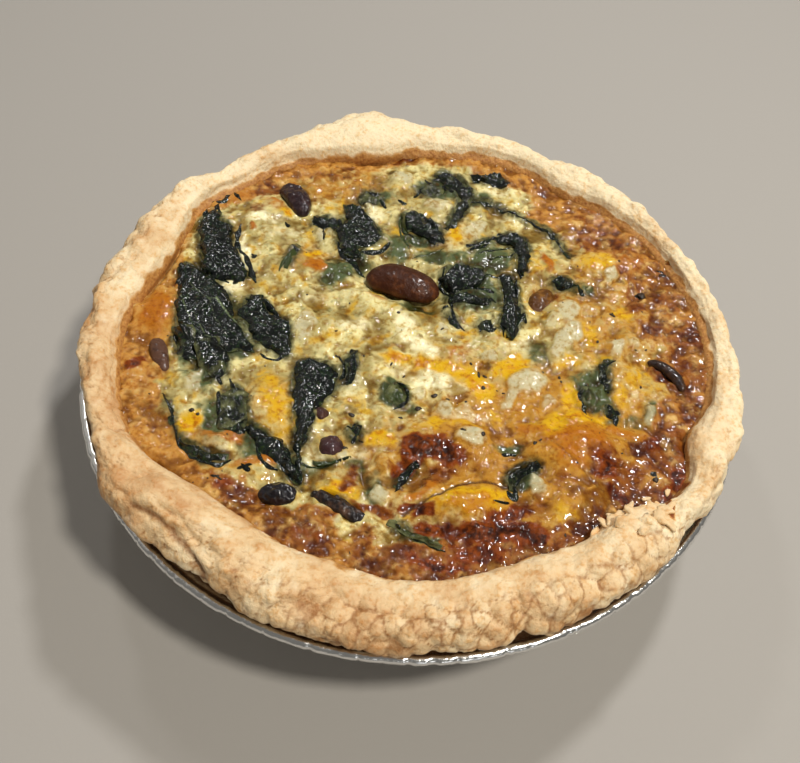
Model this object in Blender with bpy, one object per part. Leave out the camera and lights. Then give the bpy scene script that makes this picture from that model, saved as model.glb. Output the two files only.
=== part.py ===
# A small spinach quiche standing in the round foil tin it was baked in.
#
# Origin: middle of the tin's flat base, on the surface it stands on. +Z is up
# and +Y points to the side of the crust that flares out over the rim.
# Every size and place below is in millimetres. MM turns it into metres when
# a mesh is made. Angles are in degrees, counted from +X towards +Y.

import math

import bmesh
import bpy
from mathutils import Vector, noise
from mathutils.bvhtree import BVHTree

MM = 0.001

# Clear space between pieces that touch in the real quiche
GAP = 0.35

# Foil tin: a pressed pan with a crimped wall, a narrow flange and a rolled edge
TIN_SIDES = 96
TIN_BASE_RADIUS = 54.5
TIN_CORNER_RADIUS = 56.5
TIN_CORNER_HEIGHT = 2.4
TIN_WALL_TOP_RADIUS = 69.6
TIN_WALL_TOP = 25.8
TIN_FOIL = 0.5
TIN_FLUTE = 0.35
TIN_FLANGE_STEP = 1.0
TIN_EDGE_RADIUS = 74.2
TIN_EDGE_HEIGHT = 27.4
TIN_EDGE_ROLL = 1.1
TIN_EDGE_DENT = 0.22
TIN_DENT_SIZE = 5.0

# Pastry case: a lining of even thickness with a thick rolled rim
CRUST_SIDES = 126
CRUST_LINING = 3.7
RIM_OUTER = 75.0
RIM_INNER = 66.6
RIM_CENTRE_HEIGHT = 32.2
RIM_TOP = 37.3
RIM_UNDERSIDE = 3.3
RIM_LEAN = 0.9
RIM_KNOBS = 1.5
RIM_KNOB_SIZE = 8.0
RIM_CRAGS = 0.9
RIM_CRAG_SIZE = 3.6
CRUST_FLOOR = TIN_FOIL + GAP + CRUST_LINING

# Places round the rim's rolled section, from under its outer side to where the custard meets it
RIM_PHASES = (-50, -20, 10, 38, 64, 90, 116, 144, 172)

# Share of the relief under the rim, and the turns over which it grows full and fades at the custard
RELIEF_BELOW = 0.45
RELIEF_GROWTH = 50
RELIEF_FADE = 60

# Swells of the hand-rolled rim: (angle, half width, amount)
OUTER_SWELLS = (
    (103, 8, 5.2),
    (100, 22, 2.0),
    (146, 9, 2.2),
    (168, 16, 1.5),
    (62, 24, 0.9),
    (31, 7, -0.9),
    (202, 13, -1.2),
    (218, 5, 1.0),
    (322, 11, -0.9),
    (345, 7, 0.6),
)
INNER_SWELLS = (
    (14, 24, 2.6),
    (34, 8, 1.2),
    (55, 5, -1.6),
    (72, 9, 2.0),
    (101, 8, -3.2),
    (122, 7, 1.9),
    (143, 7, 1.9),
    (163, 13, -4.0),
    (190, 8, -0.8),
    (228, 13, -2.4),
    (236, 21, -5.4),
    (250, 13, -3.3),
    (262, 11, -2.6),
    (274, 14, -2.3),
    (288, 22, -3.6),
    (298, 13, -3.7),
    (315, 7, -5.0),
    (327, 8, 2.0),
    (339, 6, -2.8),
)
TOP_SWELLS = (
    (103, 12, 0.9),
    (150, 18, 0.5),
    (225, 16, 0.8),
    (262, 9, -0.6),
    (290, 14, 0.4),
    (8, 26, -1.2),
)

# Creases pressed or torn in the rim: (start, end, half width, depth)
RIM_CREASES = (
    ((-49, -53), (-35, -66), 1.8, 1.5),
    ((-62, -32), (-56, -30), 1.5, 1.2),
    ((-66, -25), (-58, -25), 1.4, 0.9),
    ((-54, -44), (-48, -46), 2.2, 1.2),
    ((-12, -61), (2, -63), 1.5, 1.0),
    ((22, -62), (25, -74), 1.8, 1.0),
    ((-14, -62), (-18, -76), 1.8, 0.9),
    ((50, -43), (60, -47), 1.8, 1.1),
    ((-24, 66), (-27, 80), 1.6, 1.2),
    ((58, 40), (66, 45), 1.6, 0.9),
)

# Baked custard: level, unevenness and the small dip of everything laid in it
FILLING_RINGS = 21
FILLING_LEVEL = 32.0
FILLING_EDGE = 32.2
FILLING_BUMPS = 0.9
FILLING_BUMP_SIZE = 9.0
FILLING_LUMPS = 0.5
FILLING_LUMP_SIZE = 4.6
POCKET_FALLOFF = 1.7
POCKET_REACH = 12

DOME_FALL = 1.3

# Melted cheese, onion and custard that stand up in domes:
# (x, y, half length, half width, angle, height)
DOMES = (
    (36, -29, 10, 9.5, 0, 2.3),
    (35, -42, 8.5, 6.5, 10, 1.7),
    (12, -41.5, 9, 4.2, 8, 1.3),
    (6, -29, 8, 5, 15, 1.4),
    (18, -50, 11, 4, 8, 0.9),
    (-30, -19, 9, 5, 115, 1.1),
    (44, -9, 8, 7, 60, 1.1),
    (27, -10, 5.5, 4.5, 20, 0.8),
    (36, 3, 6.5, 3, 70, 0.9),
    (35, 12, 3.6, 3, 0, 0.7),
    (45, 28, 6.5, 4.5, 10, 0.9),
    (14, 28, 10, 7, 30, 0.9),
    (14, 43, 5.5, 4.5, 0, 0.8),
    (-4, 52, 6, 6, 0, 0.8),
    (-24, 55, 8, 5, 5, 0.9),
    (-40, 37, 5, 7, 0, 0.8),
    (-34, 23, 5, 6.5, 0, 0.8),
    (-25, 2, 5.5, 4.5, 0, 0.7),
    (-14, 8, 8, 5, 20, 0.5),
    (8, -3, 9, 4, -20, 0.6),
    (14, -26, 5, 3.4, 0, 0.7),
    (55, 14, 6, 5, 60, 0.8),
    (58, -18, 5, 6, 0, 0.8),
    (-50, -40, 5, 3, -40, 0.5),
    (-4, -37, 3.6, 6, 20, 0.6),
    (-58, 3, 3.4, 7, 0, 0.6),
)

# Beans lying in the custard: height, sunk share, route of (x, y, width)
BEANS = (
    (7.6, 0.45, ((-10.4, 19.8, 6.4), (-6.6, 19.8, 9.6), (-2.4, 18.4, 10), (1.6, 16.9, 9), (4.4, 15.8, 6))),
    (5.4, 0.45, ((-35.2, 50, 4.6), (-32.6, 47.4, 6.2), (-30.6, 43.6, 5.6), (-29.8, 40.6, 3.2))),
    (4.2, 0.55, ((29, 13.6, 3.4), (30.6, 16.4, 6), (32.6, 19.6, 4))),
    (4.8, 0.45, ((-28.6, -42.6, 3.6), (-25.8, -42.2, 5.4), (-22.4, -42.4, 3.8))),
    (3.0, 0.45, ((-18, -42, 2.4), (-15, -43.2, 3.1), (-11.4, -45.2, 3.7), (-8, -47.4, 3))),
    (3.6, 0.5, ((-16.8, -31.6, 3.4), (-15.8, -29.8, 5.2), (-14.8, -28.4, 3.6))),
    (2.6, 0.5, ((-19.8, -22.6, 2.4), (-18.8, -22.2, 3.3), (-17.8, -21.9, 2.4))),
    (3.0, 0.5, ((-58.2, -4.4, 3), (-57, -7.6, 4.2), (-54.8, -12.4, 2.2))),
    (2.6, 0.45, ((55, -1.9, 1.8), (57.8, -3, 2.6), (60.4, -6, 2.8), (61.4, -8.8, 2))),
)

# Wilted spinach leaves and stems: curl height, route of (x, y, width)
LEAVES = (
    (0.7, ((-53.9, 41, 2.4), (-53.1, 37, 4), (-51, 32.6, 7.6), (-50, 27.6, 7.8), (-48, 22.8, 9.4),
           (-44.4, 18.8, 6.6), (-41, 16.2, 2.2))),
    (1.0, ((-57.2, 19.4, 3), (-53, 15, 8.8), (-50, 9.4, 12.4), (-48, 3.4, 13.4),
           (-44.6, -1.4, 10), (-39.6, -4.2, 4.6), (-35.8, -5.2, 1.6))),
    (0.6, ((-52.6, -0.6, 4.4), (-51.6, -5.2, 5), (-49.6, -9, 2.4))),
    (0.8, ((-37.6, 11.4, 3), (-37.8, 7.6, 5.8), (-34.8, 3.8, 7.6), (-32, -0.4, 8), (-30, -4, 4.8),
           (-28.2, -6.4, 1.8))),
    (0.6, ((-46.8, -4.6, 5), (-45.2, -8.2, 6.8), (-43.4, -11.4, 5.4), (-41.8, -14.4, 2.2))),
    (0.6, ((-39.4, -16, 2.4), (-38, -19, 4.8), (-37.4, -23, 5.6), (-36.4, -27, 4.8), (-34.8, -29.4, 2))),
    (0.6, ((-33.2, -26.6, 1.8), (-30.6, -29.6, 4), (-28.6, -31.8, 4.8), (-25, -34, 3.6), (-23, -37.4, 3),
           (-20.9, -40.6, 1.5))),
    (0.9, ((-24.4, -7.4, 3), (-21.4, -10.4, 9.4), (-20.8, -14.6, 9.8), (-22.2, -19.6, 5.6),
           (-22.6, -24.6, 3.6), (-22.4, -31, 1.8))),
    (0.4, ((-12.8, -4.4, 1.6), (-13.7, -9, 2.6), (-12.9, -14.2, 1.8))),
    (0.9, ((-17.2, 44.8, 2), (-15.8, 41, 5.4), (-15.2, 36.8, 9.6), (-14.4, 32.6, 11.4), (-16.6, 28.6, 5),
           (-13.2, 24.6, 1.6))),
    (0.6, ((-27.2, 38.2, 2.4), (-23.8, 38.1, 3.6), (-20.8, 37.6, 3.8))),
    (0.6, ((-15, 47.2, 3), (-12.4, 48.2, 5.2), (-9.8, 49.2, 2.6))),
    (0.6, ((-2.6, 43.2, 2.4), (-1, 39.6, 6.2), (2.8, 37, 5.2), (5.6, 33.2, 2.8))),
    (0.6, ((4.4, 59.4, 3), (7.4, 57.8, 5.2), (10.8, 54.2, 3.8), (12.2, 50, 3.8), (11, 45.6, 3),
           (8.8, 41.6, 2.2), (7, 38, 1.4))),
    (0.4, ((0.4, 51, 2.6), (3.2, 52.4, 5), (6.2, 54.4, 2.8))),
    (0.3, ((14.8, 49.4, 2.4), (17.8, 48.8, 2.2), (21.4, 47.4, 1.6), (25.6, 45, 1.4), (30, 43.2, 1.4),
           (33.6, 40, 1.5), (36.4, 34.6, 1.5), (38.6, 30.2, 1.5))),
    (0.5, ((13.8, 59.4, 2), (17.8, 59.2, 5.4), (21, 58.6, 4), (23.8, 58.2, 2))),
    (0.3, ((13, 31, 1.8), (15, 32, 2.6), (17.4, 34, 1.7), (19, 35.4, 1.4))),
    (0.7, ((20.6, 36.4, 2.6), (22.6, 36.9, 4.4), (25.4, 35.2, 5), (26.4, 31.2, 3.6), (26.2, 27, 3),
           (25.8, 24.6, 2))),
    (0.8, ((6.4, 19.6, 3.6), (9.4, 21, 6.2), (13.6, 21.4, 5.8), (17.2, 22.4, 2.8))),
    (0.6, ((8.2, 15.6, 3.6), (12, 14.8, 3.8), (15.6, 14.4, 3.8), (18.8, 14, 2.6))),
    (0.3, ((7.6, 11.4, 1.3), (8.6, 8.4, 1.8), (11, 6.4, 1.4))),
    (0.7, ((22.4, 23.6, 3), (23, 19.6, 4.2), (23.4, 15, 3.8), (23.6, 10.4, 5.2), (22.4, 6.2, 3.4),
           (21.8, 3.6, 1.8))),
    (0.4, ((15.2, 5.2, 1.8), (16.8, 6, 3.2), (18.4, 6.6, 1.6))),
    (0.5, ((33.4, 22.6, 2.6), (35.6, 22.4, 3.8), (37.8, 21, 2.4), (39.4, 18.4, 1.8))),
    (0.3, ((-53.6, -19.2, 1.1), (-50.6, -25, 1.2), (-48.6, -30.2, 1.5), (-45.4, -33.2, 2.8),
           (-41.6, -35.2, 3), (-37, -34.9, 1.8))),
    (0.4, ((-10.8, -23.8, 1.6), (-11.4, -26, 2.9), (-10, -28.8, 1.5))),
    (0.3, ((-19.4, -34.6, 1.3), (-16.8, -35, 1.5), (-13.8, -33, 1.2))),
    (0.6, ((-3.8, -12.4, 3), (-3, -15.2, 6), (-2.6, -18.2, 3.2))),
    (0.3, ((-29.7, 29, 1.5), (-31, 24.6, 1.9), (-31.8, 20.2, 1.4))),
    (0.5, ((28.8, -31.8, 1.4), (25.8, -33, 2.6), (23.4, -35, 2.4), (22, -37.4, 3.2), (22.8, -39.2, 1.5))),
    (0.4, ((2.8, -33.6, 1.3), (0.6, -35.8, 2.2), (-1.2, -38.2, 2), (-1.8, -39.8, 1.2))),
    (0.3, ((-2.4, -47, 1.3), (1, -49.6, 1.8), (5.4, -51.4, 2.2), (8.8, -53.2, 1.4))),
    (0.5, ((45.8, -1.6, 1.5), (43.4, -5.4, 2.2), (44.4, -11, 1.4))),
    (0.4, ((39, -10.4, 1.4), (38.4, -13, 2.2), (39, -16, 1.4))),
    (0.4, ((44, -15, 1.8), (44.8, -17.2, 3), (44.2, -19.6, 1.8))),
    (0.3, ((-4.4, 43, 1.1), (-3.6, 38, 1.2), (-1.6, 33, 1.2), (-0.4, 30, 1.1))),
)
RIM_MARGIN = 1.0
LEAF_THICKNESS = 0.8
LEAF_STEP = 2.7
LEAF_CELL = 3.4
LEAF_DIP = 0.95
LEAF_RAGGED = 0.22
LEAF_WAVE_SIZE = 3.4
BEAN_SIDES = 10
BEAN_STATIONS = 7
BEAN_LIFT = 0.25
BEAN_TIP = 0.32

COLOURS = {
    "aluminium_foil": ((0.78, 0.78, 0.77), 0.32, 1.0),
    "baked_pastry": ((0.72, 0.49, 0.24), 0.78, 0.0),
    "baked_custard": ((0.80, 0.52, 0.12), 0.42, 0.0),
    "cooked_bean": ((0.12, 0.035, 0.02), 0.30, 0.0),
    "cooked_spinach": ((0.018, 0.045, 0.022), 0.34, 0.0),
}


def clear_scene():
    for obj in list(bpy.data.objects):
        bpy.data.objects.remove(obj, do_unlink=True)


def material(name):
    made = bpy.data.materials.get(name)
    if made:
        return made
    colour, roughness, metallic = COLOURS[name]
    made = bpy.data.materials.new(name)
    made.use_nodes = True
    shader = made.node_tree.nodes["Principled BSDF"]
    shader.inputs["Base Color"].default_value = (*colour, 1.0)
    shader.inputs["Roughness"].default_value = roughness
    shader.inputs["Metallic"].default_value = metallic
    return made


def mesh_object(name, points, faces, material_name):
    """A smooth-shaded object from points in millimetres, its faces turned outwards."""
    mesh = bpy.data.meshes.new(name)
    body = bmesh.new()
    verts = [body.verts.new(Vector(point) * MM) for point in points]
    for face in faces:
        body.faces.new([verts[index] for index in face])
    bmesh.ops.recalc_face_normals(body, faces=body.faces)
    body.to_mesh(mesh)
    body.free()
    mesh.materials.append(material(material_name))
    mesh.shade_smooth()
    mesh.set_sharp_from_angle(angle=math.radians(50))
    obj = bpy.data.objects.new(name, mesh)
    bpy.context.scene.collection.objects.link(obj)
    return obj


def turned_solid(rings, low_centre, high_centre):
    """Points and faces of the closed solid through rings of equal length, with a fan at each end."""
    count = len(rings[0])
    points = [point for ring in rings for point in ring]
    faces = []
    for low in range(len(rings) - 1):
        for side in range(count):
            after = (side + 1) % count
            a, b = low * count + side, low * count + after
            c, d = b + count, a + count
            faces.append((a, b, c))
            faces.append((a, c, d))
    points.append(low_centre)
    points.append(high_centre)
    last = (len(rings) - 1) * count
    for side in range(count):
        after = (side + 1) % count
        faces.append((len(points) - 2, after, side))
        faces.append((len(points) - 1, last + side, last + after))
    return points, faces


def swell(angle, bumps):
    """Sum of smooth bumps round the circle."""
    total = 0.0
    for centre, half_width, amount in bumps:
        turn = (math.degrees(angle) - centre + 180.0) % 360.0 - 180.0
        total += amount * math.exp(-((turn / half_width) ** 2))
    return total


def wobble(x, y, z, size):
    return noise.noise(Vector((x, y, z)) / size)


def segment_distance(x, y, start, end):
    """Distance from a point to a segment, and how far along the segment it falls, from 0 to 1."""
    dx, dy = end[0] - start[0], end[1] - start[1]
    share = ((x - start[0]) * dx + (y - start[1]) * dy) / (dx * dx + dy * dy)
    share = min(1.0, max(0.0, share))
    return math.hypot(x - start[0] - share * dx, y - start[1] - share * dy), share


# Foil tin

def tin_profile():
    """(radius, height, share of the flutes, share of the dents): up outside, over the edge, down inside."""
    edge, level, roll = TIN_EDGE_RADIUS, TIN_EDGE_HEIGHT, TIN_EDGE_ROLL
    wall, top, half = TIN_WALL_TOP_RADIUS, TIN_WALL_TOP, TIN_FOIL / 2
    flange = top + TIN_FLANGE_STEP
    return (
        (TIN_BASE_RADIUS, 0.0, 0.0, 0.0),
        (TIN_CORNER_RADIUS + half, TIN_CORNER_HEIGHT, 1.0, 0.0),
        (wall + half, top, 1.0, 0.0),
        (edge - roll, flange - half, 0.0, 0.0),
        (edge + 0.2, level - roll, 0.0, 1.0),
        (edge + roll, level, 0.0, 1.0),
        (edge + 0.1, level + roll, 0.0, 1.0),
        (edge - roll, level + 0.3, 0.0, 0.6),
        (edge - roll - 0.5, flange + half, 0.0, 0.0),
        (wall + 0.5, flange + half, 0.0, 0.0),
        (wall - half, top, 1.0, 0.0),
        (TIN_CORNER_RADIUS - half, TIN_CORNER_HEIGHT, 1.0, 0.0),
        (TIN_BASE_RADIUS - half, TIN_FOIL, 0.0, 0.0),
    )


def make_tin():
    rings = []
    for radius, height, flute, dent in tin_profile():
        ring = []
        for side in range(TIN_SIDES):
            angle = 2.0 * math.pi * side / TIN_SIDES
            x, y = math.cos(angle), math.sin(angle)
            crimp = TIN_FLUTE * flute * (1.0 if side % 2 else -1.0)
            pressed = TIN_EDGE_DENT * dent * wobble(radius * x, radius * y, height, TIN_DENT_SIZE)
            r = radius + crimp + pressed
            ring.append((r * x, r * y, height + pressed))
        rings.append(ring)
    points, faces = turned_solid(rings, (0.0, 0.0, 0.0), (0.0, 0.0, TIN_FOIL))
    mesh_object("foil_tin", points, faces, "aluminium_foil")


# Pastry case

def rim_section(angle):
    """Middle radius, half width and top of the rolled rim at this angle."""
    outer = RIM_OUTER + swell(angle, OUTER_SWELLS)
    inner = RIM_INNER + swell(angle, INNER_SWELLS)
    return (outer + inner) / 2.0, (outer - inner) / 2.0, RIM_TOP + swell(angle, TOP_SWELLS)


def lining_radius(height):
    """Outside radius of the pastry lining, which runs parallel to the tin's wall, clear of its flutes."""
    share = (height - TIN_CORNER_HEIGHT) / (TIN_WALL_TOP - TIN_CORNER_HEIGHT)
    wall = TIN_CORNER_RADIUS + share * (TIN_WALL_TOP_RADIUS - TIN_CORNER_RADIUS)
    return wall - TIN_FOIL / 2 - TIN_FLUTE - GAP


def crust_column(angle):
    """(radius, height, share of the relief) from the underside, over the rim and down inside."""
    middle, half, top = rim_section(angle)
    column = [
        (TIN_BASE_RADIUS - 1.0, TIN_FOIL + GAP, 0.0),
        (lining_radius(TIN_CORNER_HEIGHT), TIN_CORNER_HEIGHT + 0.3, 0.0),
        (lining_radius(TIN_WALL_TOP), TIN_WALL_TOP, 0.0),
        (TIN_WALL_TOP_RADIUS + 0.9, RIM_CENTRE_HEIGHT - RIM_UNDERSIDE, 0.0),
    ]
    for phase in RIM_PHASES:
        c, s = math.cos(math.radians(phase)), math.sin(math.radians(phase))
        rise = top - RIM_CENTRE_HEIGHT if s > 0 else RIM_UNDERSIDE
        relief = min(1.0, RELIEF_BELOW + (phase - RIM_PHASES[0]) / RELIEF_GROWTH)
        relief *= min(1.0, (RIM_PHASES[-1] - phase) / RELIEF_FADE)
        lean = RIM_LEAN * s * s if s > 0 else 0.0
        column.append((middle + half * c + lean, RIM_CENTRE_HEIGHT + rise * s, relief))
    column.append((lining_radius(TIN_WALL_TOP) - CRUST_LINING, TIN_WALL_TOP, 0.0))
    column.append((lining_radius(CRUST_FLOOR) - CRUST_LINING, CRUST_FLOOR, 0.0))
    return column


def rim_relief(x, y, z):
    """Outward shift of the crust: lumps and crags of the flaky dough, cut by its creases."""
    lumps = RIM_KNOBS * wobble(x, y, 2.2 * z, RIM_KNOB_SIZE)
    crags = RIM_CRAGS * wobble(x + 31, y, 1.4 * z, RIM_CRAG_SIZE)
    shift = lumps + crags
    for start, end, half_width, depth in RIM_CREASES:
        away, _ = segment_distance(x, y, start, end)
        shift -= depth * math.exp(-((away / half_width) ** 2))
    return shift


def make_crust():
    columns = []
    for side in range(CRUST_SIDES):
        angle = 2.0 * math.pi * side / CRUST_SIDES
        middle, _, _ = rim_section(angle)
        column = []
        for radius, height, relief in crust_column(angle):
            x, y = radius * math.cos(angle), radius * math.sin(angle)
            if relief:
                outward, upward = radius - middle, height - RIM_CENTRE_HEIGHT
                length = math.hypot(outward, upward)
                shift = relief * rim_relief(x, y, height)
                radius += shift * outward / length
                height = max(height + shift * upward / length, RIM_CENTRE_HEIGHT - RIM_UNDERSIDE)
            column.append((radius * math.cos(angle), radius * math.sin(angle), height))
        columns.append(column)
    rings = [[column[level] for column in columns] for level in range(len(columns[0]))]
    points, faces = turned_solid(rings, (0.0, 0.0, TIN_FOIL + GAP), (0.0, 0.0, CRUST_FLOOR))
    mesh_object("crust", points, faces, "baked_pastry")


# Routes of the beans and leaves

def smooth_route(route, count):
    """Evenly spaced (x, y, width) on a smooth curve through the route's points."""
    ends = [tuple(2 * a - b for a, b in zip(route[0], route[1]))]
    ends += list(route)
    ends.append(tuple(2 * a - b for a, b in zip(route[-1], route[-2])))
    dense = []
    for index in range(len(route) - 1):
        p0, p1, p2, p3 = (Vector(point) for point in ends[index:index + 4])
        for step in range(12):
            t = step / 12
            dense.append(0.5 * (2 * p1 + (p2 - p0) * t + (2 * p0 - 5 * p1 + 4 * p2 - p3) * t ** 2
                                + (3 * p1 - p0 - 3 * p2 + p3) * t ** 3))
    dense.append(Vector(route[-1]))
    travelled = [0.0]
    for before, after in zip(dense, dense[1:]):
        travelled.append(travelled[-1] + (after - before).xy.length)
    stations = []
    index = 0
    for station in range(count):
        wanted = travelled[-1] * station / (count - 1)
        while index < len(dense) - 2 and travelled[index + 1] < wanted:
            index += 1
        span = travelled[index + 1] - travelled[index]
        stations.append(dense[index].lerp(dense[index + 1], (wanted - travelled[index]) / span))
    return stations


def route_length(route):
    return sum(math.dist(a[:2], b[:2]) for a, b in zip(route, route[1:]))


def sideways(stations, index):
    """Unit vector across the route at a station, to its left."""
    before, after = stations[max(0, index - 2)], stations[min(len(stations) - 1, index + 2)]
    along = (after - before).xy.normalized()
    return Vector((-along.y, along.x))


# Baked custard

def custard_height(x, y):
    """Height of the custard before anything is laid in it."""
    height = FILLING_LEVEL
    height += FILLING_BUMPS * wobble(x, y, 4.0, FILLING_BUMP_SIZE)
    height += FILLING_LUMPS * wobble(x, y, 17.0, FILLING_LUMP_SIZE)
    for cx, cy, long, wide, turn, rise in DOMES:
        c, s = math.cos(math.radians(turn)), math.sin(math.radians(turn))
        along, across = (c * (x - cx) + s * (y - cy)) / long, (c * (y - cy) - s * (x - cx)) / wide
        height += rise * math.exp(-DOME_FALL * (along * along + across * across) ** 1.5)
    return height


def pocket_depth(x, y, pockets):
    """Depth of the dip under the beans and leaves at this place."""
    deepest = 0.0
    for depth, stations in pockets:
        for start, end in zip(stations, stations[1:]):
            if max(abs(x - start.x), abs(y - start.y)) > POCKET_REACH:
                continue
            away, share = segment_distance(x, y, start, end)
            beyond = away - 0.5 * ((1 - share) * start.z + share * end.z)
            t = min(1.0, max(0.0, 1.0 - beyond / POCKET_FALLOFF))
            deepest = max(deepest, depth * t * t * (3 - 2 * t))
    return deepest


def filling_edge_radius(angle, height):
    """Radius of the custard where it meets the pastry at this height."""
    middle, half, top = rim_section(angle)
    contact = math.radians(RIM_PHASES[-1])
    upper = middle + half * math.cos(contact)
    upper_height = RIM_CENTRE_HEIGHT + (top - RIM_CENTRE_HEIGHT) * math.sin(contact)
    share = (height - TIN_WALL_TOP) / (upper_height - TIN_WALL_TOP)
    lower = lining_radius(TIN_WALL_TOP) - CRUST_LINING
    return lower + share * (upper - lower) - GAP


def inside_rim(place):
    """The same place, pulled in where it would touch the pastry rim."""
    reach = filling_edge_radius(math.atan2(place.y, place.x), FILLING_EDGE) - RIM_MARGIN
    return place if place.length < reach else place * (reach / place.length)


def filling_top(pockets):
    """Points and faces of the custard's surface: rings of 6, 12, 18 points round the middle."""
    rings = FILLING_RINGS
    points = [(0.0, 0.0, custard_height(0, 0) - pocket_depth(0, 0, pockets))]
    for ring in range(1, rings + 1):
        for step in range(6 * ring):
            angle = 2.0 * math.pi * step / (6 * ring)
            radius = filling_edge_radius(angle, FILLING_EDGE) * ring / rings
            x, y = radius * math.cos(angle), radius * math.sin(angle)
            open_height = custard_height(x, y) - pocket_depth(x, y, pockets)
            settled = min(1.0, (rings - ring) / 2)
            points.append((x, y, settled * open_height + (1 - settled) * FILLING_EDGE))
    faces = []

    def index(ring, step):
        return 0 if ring == 0 else 1 + 3 * ring * (ring - 1) + step % (6 * ring)

    for ring in range(1, rings + 1):
        for sector in range(6):
            for step in range(ring):
                outer = sector * ring + step
                inner = sector * (ring - 1) + step
                faces.append((index(ring, outer), index(ring, outer + 1), index(ring - 1, inner)))
                if step < ring - 1:
                    faces.append((index(ring - 1, inner), index(ring, outer + 1), index(ring - 1, inner + 1)))
    return points, faces


def make_filling(pockets):
    """The custard, solid down to the pastry's floor. Returns its surface for other pieces to lie on."""
    points, faces = filling_top(pockets)
    surface = BVHTree.FromPolygons(points, faces)
    sides = 6 * FILLING_RINGS
    rim = list(range(len(points) - sides, len(points)))
    floor = CRUST_FLOOR + GAP
    for height, radius in ((TIN_WALL_TOP, lining_radius(TIN_WALL_TOP)), (floor, lining_radius(floor))):
        radius -= CRUST_LINING + GAP
        lower = []
        for side in range(sides):
            angle = 2.0 * math.pi * side / sides
            lower.append(len(points))
            points.append((radius * math.cos(angle), radius * math.sin(angle), height))
        for side in range(sides):
            after = (side + 1) % sides
            faces.append((rim[side], lower[side], lower[after]))
            faces.append((rim[side], lower[after], rim[after]))
        rim = lower
    points.append((0.0, 0.0, floor))
    for side in range(sides):
        faces.append((len(points) - 1, rim[(side + 1) % sides], rim[side]))
    mesh_object("filling", points, faces, "baked_custard")
    return surface


# Laying pieces on the custard

class Laid:
    """What has been laid so far, to find the highest surface below a point."""

    def __init__(self, surface):
        self.layers = [(surface, (-99.0, -99.0, 99.0, 99.0))]

    def top(self, x, y):
        highest = -99.0
        for tree, (x0, y0, x1, y1) in self.layers:
            if x0 <= x <= x1 and y0 <= y <= y1:
                hit = tree.ray_cast(Vector((x, y, 90.0)), Vector((0.0, 0.0, -1.0)))[0]
                if hit:
                    highest = max(highest, hit.z)
        return highest

    def add(self, points, faces):
        xs, ys = [point[0] for point in points], [point[1] for point in points]
        box = (min(xs), min(ys), max(xs), max(ys))
        self.layers.append((BVHTree.FromPolygons(points, faces), box))


# Places on a triangle where the clearance under it is tried
TRIALS = [(a / 4, b / 4, 1 - a / 4 - b / 4) for a in range(5) for b in range(5 - a)]


def settle(points, underside, laid):
    """Lifts the points of an underside until every trial place clears what lies below."""
    for _ in range(6):
        lift = {}
        for face in underside:
            corners = [points[index] for index in face]
            for weights in TRIALS:
                x, y, z = (sum(w * c[axis] for w, c in zip(weights, corners)) for axis in range(3))
                short = laid.top(x, y) + GAP - z
                if short > 0.01:
                    for index, weight in zip(face, weights):
                        if weight > 0.2:
                            lift[index] = max(lift.get(index, 0.0), short)
        if not lift:
            break
        for index, rise in lift.items():
            points[index][2] += rise


def make_leaf(name, curl, route, laid):
    """A thin wavy strip: a lower face that follows what it lies on, and the same face a thickness higher."""
    stations = smooth_route(route, max(4, round(route_length(route) / LEAF_STEP) + 1))
    cells = max(2, round(max(point[2] for point in route) / LEAF_CELL))
    lower = []
    for number, station in enumerate(stations):
        across = sideways(stations, number)
        for cell in range(cells + 1):
            side = 2.0 * cell / cells - 1.0
            ragged = 1.0 + LEAF_RAGGED * wobble(4 * side, number, station.x, 1.0)
            place = inside_rim(station.xy + across * (side * 0.5 * station.z * ragged))
            wave = 0.5 + 0.5 * wobble(place.x, place.y, 5.0, LEAF_WAVE_SIZE)
            lower.append([place.x, place.y, laid.top(place.x, place.y) + GAP + curl * wave])
    row = cells + 1
    faces = []
    for number in range(len(stations) - 1):
        for cell in range(cells):
            a = number * row + cell
            faces.append((a, a + 1, a + row + 1))
            faces.append((a, a + row + 1, a + row))
    settle(lower, faces, laid)
    count = len(lower)
    points = lower + [[x, y, z + LEAF_THICKNESS] for x, y, z in lower]
    solid = [face[::-1] for face in faces] + [tuple(index + count for index in face) for face in faces]
    border = list(range(row - 1))
    border += [number * row + row - 1 for number in range(len(stations) - 1)]
    border += [count - 1 - cell for cell in range(row - 1)]
    border += [number * row for number in range(len(stations) - 1, 0, -1)]
    for a, b in zip(border, border[1:] + border[:1]):
        solid.append((a, b, b + count))
        solid.append((a, b + count, a + count))
    mesh_object(name, points, solid, "cooked_spinach")
    laid.add(points, solid)


def make_bean(name, height, sunk, route, laid):
    """A plump body along its route, its underside flattened onto the custard."""
    stations = smooth_route(route, BEAN_STATIONS)
    level = sum(laid.top(station.x, station.y) for station in stations) / len(stations)
    middle = level + GAP + height * (0.5 + BEAN_LIFT - sunk)
    rings = []
    for number, station in enumerate(stations):
        across = sideways(stations, number)
        round_off = math.sin(math.pi * (number + 0.7) / (BEAN_STATIONS + 0.4)) ** 0.5
        ring = []
        for side in range(BEAN_SIDES):
            angle = 2.0 * math.pi * side / BEAN_SIDES
            place = inside_rim(station.xy + across * (0.5 * station.z * math.cos(angle)))
            ring.append([place.x, place.y, middle + 0.5 * height * round_off * math.sin(angle)])
        rings.append(ring)
    caps = []
    for end, toward in ((route[0], stations[1]), (route[-1], stations[-2])):
        out = (Vector(end[:2]) - toward.xy).normalized() * (BEAN_TIP * end[2])
        caps.append([end[0] + out.x, end[1] + out.y, middle])
    points, faces = turned_solid(rings, *caps)
    points = [list(point) for point in points]
    low = [face for face in faces if sum(points[index][2] for index in face) < 3 * middle + 0.3]
    settle(points, low, laid)
    mesh_object(name, points, faces, "cooked_bean")
    laid.add(points, faces)


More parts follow.
